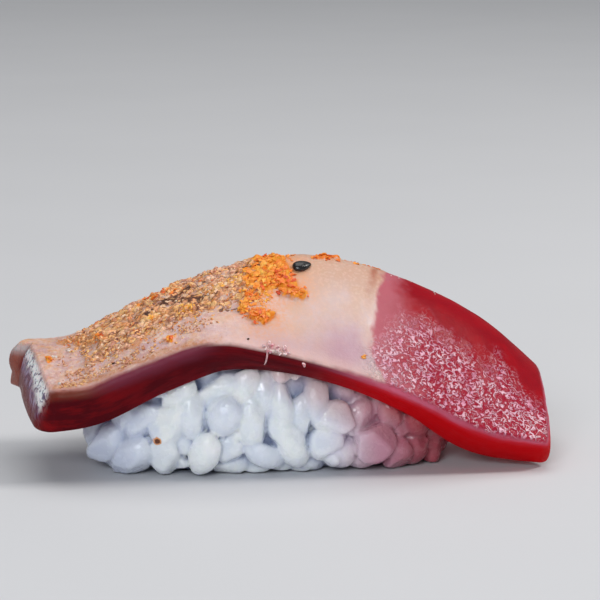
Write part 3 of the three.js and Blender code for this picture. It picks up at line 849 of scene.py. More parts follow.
def seared_colours(finish, masks):
    """Cream where the sear is light, tan towards the skin end, with golden and charred crust."""
    step, place = finish.step, finish.place
    cloud, blotch, lilac = (finish.cloud(*patch) for patch in ((4.0, 0.2), (1.1, 0.16), (2.2, 0.14)))
    speck = finish.noise(place, 0.5, 3.0, 0.6)
    lay = finish.stretch(finish.attribute("lay", "Vector"), (0.7, 1.1, 1))
    fleck = finish.noise(lay, 0.75, 3.0, 0.6, 0.5)
    # Pale flecks here are partly painted highlights.
    cream = finish.layers(CREAM, (cloud, CREAM_PINK), (masks.warm * 0.8, WARM_CREAM),
                          (step(speck, 0.48, 0.62) * 0.3, PALE_FLECK_AND_GLINT))
    tan = finish.layers(TAN, (blotch, TAN_PALE), (lilac * 0.6, LILAC),
                        (step(fleck, 0.55, 0.7) * 0.42, SINGED), (step(fleck, 0.46, 0.34) * 0.75, PALE_FLECK_AND_GLINT))
    stained = masks.stain + (speck - 0.5) * 0.9
    golden = step(finish.most(masks.golden, masks.granular) + speck * 1.2, 0.95, 1.35)
    return finish.layers(
        cream, (masks.tanned, tan), (masks.lilac * 0.85, LILAC),
        (masks.tawny * step(speck + blotch * 0.3, 0.45, 0.8, 0.2, 1.0), TAWNY),
        (masks.glow * step(speck, 0.3, 0.7, 0.35, 0.9), PEACH_GLOW),
        (step(stained, 0.1, 0.5) * 0.3, STAIN),
        (step(stained, 0.38, 0.62), finish.mix(cloud, PASTE, PASTE_YELLOW)),
        (golden * 0.65, GOLD), (masks.fold * 0.8, FOLD_BROWN_AND_SHADOW),
        (step(masks.scorched + speck * 1.5, 1.05, 1.4) * 0.85, SCORCH))


def raw_colours(finish, masks, spots):
    """Deep red flesh, pinker where it is wet and rough, with painted highlights as pale curly spots there,
    and dusty beside the sear.
    """
    cloud = finish.cloud(3.0)
    return finish.layers(RAW_RED, (cloud, RAW_DEEP), (masks.glitter * 0.7, RAW_PINK),
                         (masks.dusty * 0.85, DUSTY), (spots * 0.86, finish.mix(cloud, PAINTED_GLINT_WHITE, PAINTED_GLINT_PINK)))


def side_colours(finish, masks):
    """The cut side: mauve under the crust, maroon darkened with painted shade in the middle and bright red at
    the raw end.
    """
    fade, step, lay = finish.fade, finish.step, finish.attribute("lay", "Vector")
    along = finish.node("ShaderNodeSeparateXYZ", [(0, lay)]) * (1 / SLICE_LENGTH)
    streak = finish.noise(finish.stretch(lay, (0.13, 0.5, 0.9)), 1.0, 3.0, 0.6)
    ragged = finish.attribute("down") + (streak - 0.5) * 1.6
    deep = fade(streak, 0.35, 0.6, DARK_MAROON_AND_SHADE, fade(along, 0.08, 0.26, TIP_GLOW, MAROON_AND_SHADE))
    edge = fade(along, 0.08, 0.18, BROWN_EDGE, MAUVE)
    left = fade(ragged, 0.3, step(along, 0.08, 0.2, 1.5, 2.6), edge, deep)
    left = fade(ragged, -0.9, 0.1, MAUVE_TAN, left)
    middle = fade(streak, 0.4, 0.65, DARK_MAROON_AND_SHADE, MAROON_AND_SHADE)
    right = fade(ragged, 0.0, 0.9, MAUVE_STRIP, fade(ragged, 0.5, 1.7, ROSE, BRIGHT_RED))
    colour = finish.layers(left, (step(along, 0.32, 0.4), middle), (step(along, 0.5, 0.72), right))
    return finish.mix(masks.skin, colour, skin_end_colours(finish, masks, streak))


def skin_end_colours(finish, masks, streak):
    """The skin end: foil-like silver painted as bright highlights and shaded crinkles over lilac, with
    ash-grey under a painted sheen and browned flesh behind.
    """
    fade, mix, place = finish.fade, finish.mix, finish.place
    violet = finish.noise(finish.stretch(place, (1, 1, 0.25)), 0.7)
    end = mix(masks.purple, TIP_RED, fade(violet, 0.4, 0.6, PURPLE, VIOLET))
    end = fade(finish.noise(place, 1.2), 0.4, 0.6, end, mix(0.35, end, LOBE_BROWN))
    foil = finish.noise(finish.stretch(place, (1.0, 0.55, 0.6)), 0.5, 3.0, 0.65, 0.5)
    return finish.layers(
        end, (masks.lobe * 0.8, mix(streak, LOBE_BROWN, LOBE_PINK)), (masks.ash, ASH_AND_SHEEN),
        (masks.silver, fade(foil, 0.4, 0.5, CRINKLE_SHADE, SILVER_HIGHLIGHT)), (masks.crease * 0.8, TIP_RED))


def wet_ridges_and_painted_glints(finish):
    """Short curly ridges, as on wet raw flesh: a bump height, and the mask of the painted highlights."""
    bent = finish.noise(finish.place, 0.85, 1.0, 0.5, 1.2)
    ridge = finish.step(finish.math("ABSOLUTE", bent - 0.5), 0.024, 0.1, 1.0, 0.0)
    return ridge * finish.step(finish.noise(finish.place, 0.7, 1.0), 0.38, 0.48)


TOP_MASKS = [
    "seared", "warm", "scorched", "golden", "granular", "tawny", "stain", "glow", "fold", "glitter", "dusty",
    "tanned", "lilac", "rim", "side", "skin", "silver", "purple", "ash", "crease", "lobe",
]


def flesh_colours(finish, masks, spots):
    """The whole slice, from its top down its cut side."""
    return finish.layers(raw_colours(finish, masks, spots), (masks.seared, seared_colours(finish, masks)),
                         (masks.rim * 0.7, RIM), (masks.side, side_colours(finish, masks)))


def top_material(name, gloss):
    finish = Finish(name, gloss)
    masks = finish.masks(*TOP_MASKS)
    # The spots are bumps and also painted highlights in the colour.
    spots = wet_ridges_and_painted_glints(finish) * masks.glitter
    finish.give("Base Color", flesh_colours(finish, masks, spots))
    rough = finish.mix_value(finish.math("SUBTRACT", 1.0, masks.seared), finish.film(0.5, 0.34, 0.6)[0], 0.4)
    rough = finish.mix_value(masks.glitter, rough, 0.24)
    finish.give("Roughness", finish.most(rough, masks.scorched * 0.6))
    crust = finish.most(masks.scorched, masks.granular, masks.golden)
    grit = finish.noise(finish.place, 0.45, 3.0, 0.65) * (crust * 1.1 + masks.tanned * 0.5 + 0.22)
    wet = finish.noise(finish.place, 0.55) * (masks.glitter * 1.4)
    finish.relief(spots * 0.8 + wet + grit, 0.22)
    finish.let_through(0.22, (1.8, 0.6, 0.45))
    return finish.material


def side_material():
    """The cut side and the skin end, duller than the top, with foil-like skin."""
    finish = Finish("tuna cut side", 0.06)
    masks = finish.masks(*TOP_MASKS)
    finish.give("Base Color", flesh_colours(finish, masks, 0.0))
    finish.give("Metallic", masks.silver * 0.15)
    finish.give("Roughness", finish.mix_value(masks.skin, finish.film(0.6, 0.42, 0.8)[0], 0.3))
    foil = finish.noise(finish.stretch(finish.place, (1.0, 0.8, 0.4)), 0.75, 3.0, 0.65, 0.8)
    fibre = finish.noise(finish.stretch(finish.attribute("lay", "Vector"), (0.16, 0.5, 1.1)), 1.0, 3.0, 0.6)
    finish.relief(fibre * 0.4 + foil * masks.skin * 1.6, 0.3)
    finish.let_through(0.25, (2.6, 0.4, 0.3))
    return finish.material


def crust_material():
    """Toasted granules over the sear, each with its own tone, with painted shade in the gaps between them and
    char where scorched.
    """
    finish = Finish("toasted crust", 0.55)
    masks = finish.masks("scorched", "golden", "peak", "tone")
    tone = masks.tone + (finish.noise(finish.place, 0.35) - 0.5) * 0.3
    # Painted shade in the low gaps between granules, char where the line is scorched.
    gap = finish.step(masks.peak, 0.08, 0.48, 0.7, 0.0)
    gap_shade_and_char = finish.fade(masks.scorched, 0.1, 0.6, CRUST_GAP_SHADE, CHAR)
    finish.give("Base Color", finish.mix(gap, granule_colours(finish, tone, masks), gap_shade_and_char))
    rough, height = finish.film(0.42, 0.16, 0.3)
    finish.give("Roughness", finish.most(rough, masks.scorched * 0.8))
    finish.relief(height, 0.1)
    finish.let_through(0.25, (0.9, 0.5, 0.3))
    return finish.material


# ---- the slice of tuna ----

def ring_profile():
    """How far in from the wall, in mm, and how deep each ring of the slice's rim lies, from top to foot."""
    rings = []
    for i in range(ARC_STEPS + 1):
        turn = math.pi / 2 * i / ARC_STEPS
        rings.append((EDGE_RADIUS * (1 - math.sin(turn)), EDGE_DEPTH * (1 - math.cos(turn))))
    for i in range(1, WALL_STEPS):
        rings.append((0, EDGE_DEPTH + (1 - EDGE_DEPTH - FOOT_DEPTH) * i / WALL_STEPS))
    for i in range(ARC_STEPS + 1):
        turn = math.pi / 2 * i / ARC_STEPS
        rings.append((FOOT_RADIUS * (1 - math.cos(turn)), 1 - FOOT_DEPTH * (1 - math.sin(turn))))
    return np.array(rings)


def wall_relief(along, across, depth):
    """Fibres and soft dents of the cut sides, in mm outwards."""
    spot = np.stack([along * SLICE_LENGTH / 5, across * SLICE_HALF_WIDTH / 3, depth * 4], axis=-1)
    return WALL_RELIEF["fibres"] * bumps(spot, 1.0, 8) + WALL_RELIEF["dents"] * bumps(spot * 2.3, 1.0, 9)


def round_corners(along, across):
    """Rounds the four upright corner edges of the blank: places in it move onto arcs."""
    left, front = along < 0.5, across < 0
    from_end = np.where(left, along, 1 - along) * SLICE_LENGTH
    from_side = (1 - np.abs(across)) * SLICE_HALF_WIDTH
    skin_front, skin_back, raw_front, raw_back = CORNER_RADII
    radius = np.where(left, np.where(front, skin_front, skin_back), np.where(front, raw_front, raw_back))
    way = np.maximum(np.stack([radius - from_end, radius - from_side], axis=-1), 0)
    length = np.linalg.norm(way, axis=-1)
    share = np.where((way > 0).all(axis=-1), way.max(axis=-1) / np.maximum(length, 1e-9), 1)
    from_end = np.where(share < 1, radius - way[..., 0] * share, from_end)
    from_side = np.where(share < 1, radius - way[..., 1] * share, from_side)
    end = from_end / SLICE_LENGTH
    return np.where(left, end, 1 - end), np.sign(across) * (1 - from_side / SLICE_HALF_WIDTH)


def slice_places(along, across, ring):
    """Where each vertex of the blank goes, and its zones."""
    rings = ring_profile()
    profile = rings[len(rings) - 1 - ring]
    inset, depth = profile[:, 0], profile[:, 1]
    u = along + inset / SLICE_LENGTH * (1 - 2 * along)
    v = across * (1 - inset / SLICE_HALF_WIDTH)
    at_side = np.abs(across) > 0.9999
    at_skin, at_raw = along < 1e-5, along > 1 - 1e-5
    u, v = round_corners(u, v)
    zones = slice_zones(u, v, np.where(at_side | at_skin | at_raw, depth, np.round(depth)))
    height = crust_height(u, v) + fine_relief(u, v, zones)
    top = top_point(u, v) + top_normal(u, v) * height[:, None]
    point = top + (underside_point(u, v) - top) * depth[:, None]
    out = np.zeros_like(point)
    out[:, 1] = np.where(at_side, np.sign(across), 0)
    out[:, 0] = np.where(at_skin, -1, np.where(at_raw, 1, 0))
    dents = wall_relief(u, v, depth) * ease(depth, 0.02, 0.15) * (1 - ease(depth, 0.9, 1))
    point = point + unit(out) * (SIDE_BULGE * 4 * depth * (1 - depth) + dents)[:, None]
    point[:, 0] -= skin_end_swelling(v, depth) * np.maximum(0, 1 - u / END_FADE) ** 2
    return point, zones, np.stack([u * SLICE_LENGTH, v * SLICE_HALF_WIDTH, depth * 5], axis=-1)


def paint_faces(mesh, blank, zones):
    """Walls and underside take the second finish, the smooth raw back the third and wet flesh the fourth."""
    loops = np.array([face.vertices[:] for face in mesh.polygons])
    centres, top = blank[loops].mean(axis=1), blank[:, 2].max()
    below_top = centres[:, 2] < top - ARC_STEPS + 1
    at_skin = (centres[:, 0] < -1 + 1e-5) & (centres[:, 2] < top - 0.1)
    flat = np.column_stack([blank[:, :2] * (SLICE_LENGTH / 2, SLICE_HALF_WIDTH), blank[:, 2]])
    dull = (zones["glitter"] * (1 + 1.3 * bumps(flat, 0.8, 21)) < 0.3) & (zones["seared"] < 0.5)
    turned = (zones["side"][loops] > 0.3).any(axis=1)
    wet = (zones["seared"] < 0.5)[loops].all(axis=1)
    slots = np.select([below_top | at_skin, dull[loops].all(axis=1) | turned, wet], [1, 2, 3], 0)
    mesh.polygons.foreach_set("material_index", slots.astype(np.int32))


def tuna_slice():
    """The slice is a flat block: x is along, y across and z the ring, counted from the foot."""
    piece = grid_block((CELLS_ALONG, CELLS_ACROSS), len(ring_profile()) - 1)
    blank = vertex_places(piece.data)
    ring = np.round(blank[:, 2]).astype(int)
    places, zones, lay = slice_places((blank[:, 0] + 1) / 2, blank[:, 1], ring)
    set_places(piece.data, places * MM)
    for name, values in {**zones, "lay": lay}.items():
        set_attribute(piece.data, name, values)
    finish_piece(piece, "tuna_flesh", top_material("tuna top", 0.3), side_material(),
                 top_material("tuna back", 0.08), top_material("tuna wet", 0.22))
    paint_faces(piece.data, blank, zones)


CRUST_PATCH = {"along": (0.05, 0.5), "across": (-0.9, 0.4), "cells": (290, 164), "thickness": 0.5}
# Lengths, widths and seeds of the large and the small granules.
GRANULES = ((1.2, 0.66, 1), (0.46, 0.34, 8))
# What lifts the granules out of the slice: crusty places, strong lines, noises of two sizes and their tones.
CRUST_RISE = {"crusty": 0.64, "strong": 0.3, "middling": 0.26, "fine": 0.24, "tone": 0.5, "sunk": 0.2}
GRANULE_HEIGHT, SMALL_GRANULE_HEIGHT = 0.36, 0.12
CRUST_SUNK, BORDER_SUNK = 0.07, 0.12


def seared_crust():
    """A patch of granules that lies just under the slice's top and comes through it where it is crusty."""
    piece = grid_block(CRUST_PATCH["cells"], 1)
    blank = vertex_places(piece.data)
    along, across = (low + (high - low) * (blank[:, i] + 1) / 2
                     for i, (low, high) in enumerate((CRUST_PATCH["along"], CRUST_PATCH["across"])))
    _, middling, fine = wander(along, across, np.zeros_like(along))
    zones = slice_zones(along, across, np.zeros_like(along))
    (peaks, tones), (small_peaks, small_tones) = (granules(along, across, *size) for size in GRANULES)
    border = ease(np.minimum(1 - np.abs(blank[:, 0]), 1 - np.abs(blank[:, 1])), 0, 0.05)
    strong = np.maximum(zones["scorched"], np.maximum(zones["granular"], zones["golden"]))
    rise = CRUST_RISE["crusty"] * zones["crusty"] + CRUST_RISE["strong"] * strong
    rise = rise + CRUST_RISE["middling"] * middling + CRUST_RISE["fine"] * fine
    rise = rise + CRUST_RISE["tone"] * (tones - 0.5) - CRUST_RISE["sunk"]
    height = (GRANULE_HEIGHT * ease(rise, 0.05, 0.8) * peaks
              + SMALL_GRANULE_HEIGHT * ease(rise, 0.0, 0.5) * small_peaks)
    height = (height - CRUST_SUNK) * border - BORDER_SUNK * (1 - border)
    top = top_surface(along, across) + top_normal(along, across) * height[:, None]
    below = top_point(along, across) - top_normal(along, across) * CRUST_PATCH["thickness"]
    set_places(piece.data, np.where(blank[:, 2:] > 0.5, top, below) * MM)
    tones = np.clip(0.75 * tones + 0.35 * small_tones - 0.05, 0, 1)
    for name, values in (("tone", tones), ("peak", peaks), *((n, zones[n]) for n in ("scorched", "golden"))):
        set_attribute(piece.data, name, values)
    finish_piece(piece, "seared_crust", crust_material())


# ---- the rice's form ----

def side_share(z):
    rise = np.minimum(1, np.abs(z - MOUND_SIDE["waist height"]) / MOUND_SIDE["half height"])
    return (1 - rise ** MOUND_SIDE["squareness"]) ** (1 / MOUND_SIDE["squareness"])


def foot_inset(z):
    return FOOT["inset"] * np.maximum(0, 1 - z / FOOT["height"]) ** 2


def mound_point(angle, z, inset):
    angle, z = np.broadcast_arrays(np.asarray(angle, float), np.asarray(z, float))
    share = side_share(z)
    roundness = 2 / MOUND["squareness"]
    depth = inset + foot_inset(z)
    x = (MOUND["half length"] - depth) * share * power(np.cos(angle), roundness)
    y = (MOUND["half width"] - depth) * share * power(np.sin(angle), roundness)
    return np.stack([MOUND["centre x"] + x, y, z], axis=-1)


def even_angles(steps):
    """Angles that step evenly round the mound's waist, so that its long sides get their share."""
    fine = 720
    angles = 2 * np.pi * np.arange(fine + 1) / fine
    ring = mound_point(angles, MOUND_SIDE["waist height"], 0)
    lengths = np.concatenate([[0], np.cumsum(np.linalg.norm(np.diff(ring, axis=0), axis=1))])
    return angles[np.searchsorted(lengths, lengths[-1] * np.arange(steps) / steps)]


def ceiling_over(points, clearance=CLEARANCE):
    """The height of the slice's underside over points."""
    along = (points[..., 0] - CROWN[0][0]) / (CROWN[-1][0] - CROWN[0][0])
    middle = underside_point(along, np.zeros_like(along))
    side = np.sign(points[..., 1] - middle[..., 1])
    edge = underside_point(along, side)
    across = np.minimum(1, (points[..., 1] - middle[..., 1]) / (edge[..., 1] - middle[..., 1]))
    return underside_point(along, across * side, clearance)[..., 2]


def spine(centre, axis, length, width):
    """Three points along the middle of each grain."""
    reach = ((length - width) / 2)[..., None]
    return np.stack([centre - axis * reach, centre, centre + axis * reach], axis=-2)


def grain_pose(angle, z, lean, tilt, length, width, inset=GRAIN_INSET):
    """Grains' places and the directions of their length, from where they lie on the mound's side."""
    step = 0.02
    centre = mound_point(angle, z, inset)
    level = unit(mound_point(angle + step, z, 0) - mound_point(angle - step, z, 0))
    level = np.where(level[..., :1] < 0, -level, level)
    climb = unit(mound_point(angle, z + step, 0) - mound_point(angle, z - step, 0))
    out = unit(np.cross(level, climb))
    out = np.where((out[..., 1] * np.sin(angle))[..., None] < 0, -out, out)
    axis = climb * np.cos(lean)[..., None] + level * np.sin(lean)[..., None]
    axis = unit(axis * np.cos(tilt)[..., None] + out * np.sin(tilt)[..., None])
    return {"centre": centre, "axis": axis, "out": out, "length": length, "width": width,
            "spine": spine(centre, axis, length, width)}


def pick(pose, i):
    return {name: values[i] for name, values in pose.items()}


def one_pose(values, inset=GRAIN_INSET):
    return pick(grain_pose(*[np.array([value], float) for value in values], inset), 0)


def space_between(pose, others):
    """The least room between a grain's spine and those of others, as a share of their widths."""
    spines = np.array([o["spine"] for o in others])
    widths = np.array([o["width"] for o in others])
    gaps = np.linalg.norm(pose["spine"][None, :, None] - spines[:, None], axis=-1).min(axis=(1, 2))
    return (gaps / (pose["width"] / 2 + widths / 2)).min()


def lead_poses():
    x, z, lean, length, width, proud = np.array(LEAD_GRAINS, float).T
    share = (MOUND["half length"] - GRAIN_INSET) * side_share(z)
    cosine = power((x - MOUND["centre x"]) / share, MOUND["squareness"] / 2)
    angle = -np.arccos(np.clip(cosine, -1, 1))
    pose = grain_pose(angle, z, np.radians(lean), np.zeros(len(x)), length, width, GRAIN_INSET - proud)
    sideways, upwards = np.sin(np.radians(lean)), np.cos(np.radians(lean))
    out = pose["out"]
    inwards = -(out[:, 0] * sideways + out[:, 2] * upwards) / out[:, 1]
    pose["axis"] = unit(np.stack([sideways, np.clip(inwards, -LEAD_SLOPE, LEAD_SLOPE), upwards], axis=-1))
    pose["spine"] = spine(pose["centre"], pose["axis"], length, width)
    return [pick(pose, i) for i in range(len(x))]


def roomiest(draw, poses, angles, manner):
    """A grain where it has the most room of a few tries, or nothing where none has enough."""
    length = draw_between(draw, GRAIN_LENGTH)
    width = draw_between(draw, GRAIN_WIDTH)
    tries = []
    for _ in range(GRAIN_TRIES):
        angle = angles[int(draw() * len(angles))]
        height = draw_between(draw, (LOWEST_GRAIN, HIGHEST_GRAIN))
        lean = math.radians(GRAIN_LEAN + manner["lean spread"] * centred_draw(draw))
        tilt = math.radians(manner["tilt spread"] * centred_draw(draw))
        tries.append((angle, height, lean, tilt, length, width))
    pose = grain_pose(*np.array(tries).T, manner["inset"])
    heights = pose["spine"][..., 2]
    lower = ease(pose["spine"][..., 0], RAW_END_RICE["start"], RAW_END_RICE["end"])
    headroom = GRAIN_HEADROOM + RAW_END_RICE["headroom"] * lower
    fits = (heights > LOWEST_GRAIN) & (heights + headroom * width < ceiling_over(pose["spine"]))
    best, best_space = None, manner["spacing"]
    for i in np.flatnonzero(fits.all(axis=1)):
        candidate = pick(pose, i)
        space = space_between(candidate, poses)
        if space > best_space:
            best, best_space = candidate, space
    return best


def add_grains(draw, poses, manner):
    """Adds grains to poses, each where it has the most room."""
    angles = even_angles(360)
    for _ in range(manner["count"]):
        best = roomiest(draw, poses, angles, manner)
        if best:
            poses.append(best)
    return poses


def grain_poses():
    """Lead grains first, then a ring at the foot, then the rest where each has the most room."""
    draw = seeded_random(RICE_SEED)
    poses = lead_poses()
    for angle in even_angles(FOOT_GRAINS["count"]):
        length = draw_between(draw, GRAIN_LENGTH)
        width = draw_between(draw, GRAIN_WIDTH)
        lean = math.radians(FOOT_GRAINS["lean"] + FOOT_GRAINS["lean spread"] * centred_draw(draw))
        pose = one_pose((angle, FOOT_GRAINS["height"], lean, 0, length, width))
        if space_between(pose, poses) > OUTER_GRAINS["spacing"]:
            poses.append(pose)
    return add_grains(draw, poses, OUTER_GRAINS)


def inner_poses():
    """Grains that lie deeper and show between the outer ones."""
    first = one_pose(FIRST_INNER_GRAIN, INNER_GRAINS["inset"])
    return add_grains(seeded_random(INNER_SEED), [first], INNER_GRAINS)


# ---- rice pieces ----

GROWN_TOGETHER = {"voxel": 0.27, "smoothing": 1}

RICE_WHITE = srgb(248, 252, 255)
RICE_GREY = srgb(230, 237, 250)
# Grey-blue of glassy grains, also laid on as painted shade towards the skin end.
RICE_GLASSY_AND_SHADE = srgb(192, 200, 222)
# Painted shade that deepens in the gaps between the grains.
RICE_GAP_SHADE = srgb(138, 150, 184)
RICE_BLUSH_BOUNCE = srgb(200, 146, 164)
# Painted shade under the slice, beige with red bounce light.
RICE_SHADE = srgb(208, 164, 158)
RICE_STAIN_AND_SHADE = srgb(164, 64, 74)
SPECK_HALO = srgb(226, 158, 96)
SPECK_BROWN = srgb(112, 62, 40)
# Where the painted shade in the gaps between the grains starts and ends, in mm inwards from the mound's
# outside.
RICE_GAP_SHADE_DEPTHS = (-0.5, 1.5)
# A browned speck that clings to the rice in front.
RICE_SPECK = {"x": -18.9, "z": 5.5, "size": 0.6}
# The red tint, stain plus painted red bounce light and shade: how far down it reaches in mm, how strong it is
# and between which x it comes in.
BLUSH_AND_BOUNCE = {"reach": 2.2, "under": 0.95, "under from": (-2, 14), "end": 0.9, "end from": (1, 22)}
# Painted shade that greys the rice towards the skin end, laid on through its tone.
SKIN_END_SHADE = {"strength": 1.9, "from": (-28, -16)}


def rice_material():
    finish = Finish("cooked rice", 0.5)
    masks = finish.masks("tone", "depth", "blush", "warmth", "speck")
    speck = masks.speck + (finish.noise(finish.place, 0.5) - 0.5) * 0.5
    finish.give("Base Color", finish.layers(
        RICE_WHITE, (finish.cloud(2.4, 0.25) * 0.6, RICE_GREY), (masks.tone * 0.36, RICE_GLASSY_AND_SHADE),
        # Painted shade: grey-blue deepens in the gaps between the grains.
        (finish.step(masks.depth, *RICE_GAP_SHADE_DEPTHS, 0.0, 0.9), RICE_GAP_SHADE),
        # Painted red bounce light from the fish with some stain, then a deeper red of painted shade further
        # under the slice.
        (finish.step(masks.blush, 0.0, 0.6), RICE_BLUSH_BOUNCE), (masks.warmth, RICE_SHADE),
        (finish.step(masks.blush, 0.55, 1.0), RICE_STAIN_AND_SHADE),
        (finish.step(speck, 0.25, 0.5), SPECK_HALO), (finish.step(speck, 0.6, 0.75), SPECK_BROWN)))
    finish.moisten(0.34, 0.12, 0.8, 0.14)
    finish.let_through(0.85, (1.7, 1.6, 1.8))
    return finish.material


GRAIN_FACETS = {"count": 9, "distance": (0.38, 0.49)}
# The core that closes the gaps between the grains.
INNER_CORE_INSET = 1.6


def grain_template(seed, bend):
    """A grain of rice of unit length along Z and unit width, with flat facets, and bent a little."""
    start_piece()
    bpy.ops.mesh.primitive_ico_sphere_add(subdivisions=3, radius=0.55)
    grain = bpy.context.object
    ball = vertex_places(grain.data)
    ball[:, :2] *= 1.06 - 0.7 * ball[:, 2:] ** 2
    draw = seeded_random(seed)
    for _ in range(GRAIN_FACETS["count"]):
        facing = unit(np.array([centred_draw(draw), centred_draw(draw), 0.8 * centred_draw(draw)]))
        proud = np.maximum(0, ball @ facing - draw_between(draw, GRAIN_FACETS["distance"]))
        ball = ball - proud[:, None] * facing
    set_places(grain.data, ball)
    with editing():
        bpy.ops.transform.resize(value=(1, GRAIN_FLATNESS, 1))
    apply_modifier(grain, "SIMPLE_DEFORM", deform_method="BEND", deform_axis="Y", angle=math.radians(bend))
    return take_template(grain)


def grain_placing(pose):
    side = unit(np.cross(pose["axis"], pose["out"]))
    face = np.cross(side, pose["axis"])
    placing = np.eye(4)
    columns = side * pose["width"], face * pose["width"], pose["axis"] * pose["length"]
    placing[:3, :3] = np.stack(columns, axis=1)
    placing[:3, 3] = pose["centre"]
    return placing


def press_under_slice(points):
    """Rests points in mm on the table and keeps them under the slice."""
    points = points.copy()
    points[:, 2] = np.maximum(points[:, 2], 0)
    points[:, 2] = np.minimum(points[:, 2], ceiling_over(points, 0.05))
    return points


def rice_depth(points):
    """How deep points lie between the grains, in mm inwards from the mound's outside."""
    x, y, z = np.abs(points - (MOUND["centre x"], 0, 0)).T
    inset, share, squareness = foot_inset(z), side_share(z), MOUND["squareness"]
    x, y = x / ((MOUND["half length"] - inset) * share), y / ((MOUND["half width"] - inset) * share)
    return (1 - (x ** squareness + y ** squareness) ** (1 / squareness)) * MOUND["half width"]


def rice_blush_and_bounce(points):
    """How far the rice is tinted red, partly by stain from the fish and partly by painted red light bounced
    from it and painted shade: towards the raw end and under the slice.
    """
    near = np.exp(-np.maximum(ceiling_over(points, 0) - points[:, 2], 0) / BLUSH_AND_BOUNCE["reach"])
    under = near * BLUSH_AND_BOUNCE["under"] * ease(points[:, 0], *BLUSH_AND_BOUNCE["under from"])
    return np.clip(under + BLUSH_AND_BOUNCE["end"] * ease(points[:, 0], *BLUSH_AND_BOUNCE["end from"]), 0, 1)


def rice_shade_under_slice(points):
    """Painted shade, beige with red bounce light, on the rice close under the slice's middle."""
    gap = ceiling_over(points, 0) - points[:, 2]
    reach = 1.1 + 2.2 * ease(points[:, 0], -8, 5)
    return 0.8 * (1 - ease(gap / reach, 0.0, 2.4)) * ease(points[:, 0], -12, 0)


def rice_speck(points):
    """The browned speck, on the front of the mound alone."""
    away = np.hypot(points[:, 0] - RICE_SPECK["x"], points[:, 2] - RICE_SPECK["z"]) / RICE_SPECK["size"]
    return np.exp(-away ** 2) * (points[:, 1] < -6)


def rice_tone(points, poses):
    """How glassy the rice is: a tone drawn for each grain, plus painted shade that grows towards the skin
    end.
    """
    centres = np.array([pose["spine"] for pose in poses]).reshape(-1, 3)
    draw = seeded_random(RICE_TONE_SEED)
    tones = np.repeat([draw() ** 1.5 for _ in poses], 3)
    nearest = np.concatenate([np.linalg.norm(part[:, None] - centres, axis=-1).argmin(axis=1)
                              for part in np.array_split(points, 60)])
    return tones[nearest] + SKIN_END_SHADE["strength"] * (1 - ease(points[:, 0], *SKIN_END_SHADE["from"]))


def grain_copies(poses):
    templates = [grain_template(*shape) for shape in GRAIN_SHAPES]
    return join_copies(templates, seeded_random(SHAPE_SEED), [grain_placing(pose) for pose in poses], {})


def core_ball():
    start_piece()
    bpy.ops.mesh.primitive_uv_sphere_add(segments=128, ring_count=56, radius=1)
    piece = bpy.context.object
    ball = vertex_places(piece.data)
    angle = np.arctan2(ball[:, 1], ball[:, 0])
    z = MOUND_SIDE["waist height"] + MOUND_SIDE["half height"] * ball[:, 2]
    points = mound_point(angle, z, INNER_CORE_INSET)
    lumps = bumps(points, 3.2, 10) + 0.5 * bumps(points, 1.6, 11)
    points[:, :2] += np.stack([np.cos(angle), np.sin(angle)], axis=-1) * (0.7 * lumps)[:, None]
    set_places(piece.data, points * MM)
    return piece


def rice_mound():
    """The grains and the core behind them, grown together where they stick."""
    poses = grain_poses() + inner_poses()
    pieces = [grain_copies(poses), core_ball()]
    for piece in pieces:
        set_places(piece.data, press_under_slice(vertex_places(piece.data) / MM))
    piece = join(pieces)
    piece.data.remesh_voxel_size = GROWN_TOGETHER["voxel"]
    bpy.ops.object.voxel_remesh()
    apply_modifier(piece, "SMOOTH", factor=0.5, iterations=GROWN_TOGETHER["smoothing"])
    points = press_under_slice(vertex_places(piece.data))
    set_places(piece.data, points * MM)
    set_attribute(piece.data, "tone", rice_tone(points, poses))
    kinds = {"depth": rice_depth, "blush": rice_blush_and_bounce, "warmth": rice_shade_under_slice, "speck": rice_speck}
    for name, kind in kinds.items():
        set_attribute(piece.data, name, kind(points))
    finish_piece(piece, "rice_grains", rice_material(), slot="rice", node="rice")


# ---- toppings ----

CHILI_TONES = tone_row(
    (0, 255, 192, 82), (0.25, 255, 164, 52), (0.5, 252, 136, 42), (0.75, 238, 98, 38), (1, 206, 62, 28))
FAT_TONES = tone_row((0, 244, 230, 222), (1, 228, 190, 174))
CHAR_TONES = tone_row((0, 38, 21, 13), (0.5, 72, 40, 24), (1, 112, 66, 40))

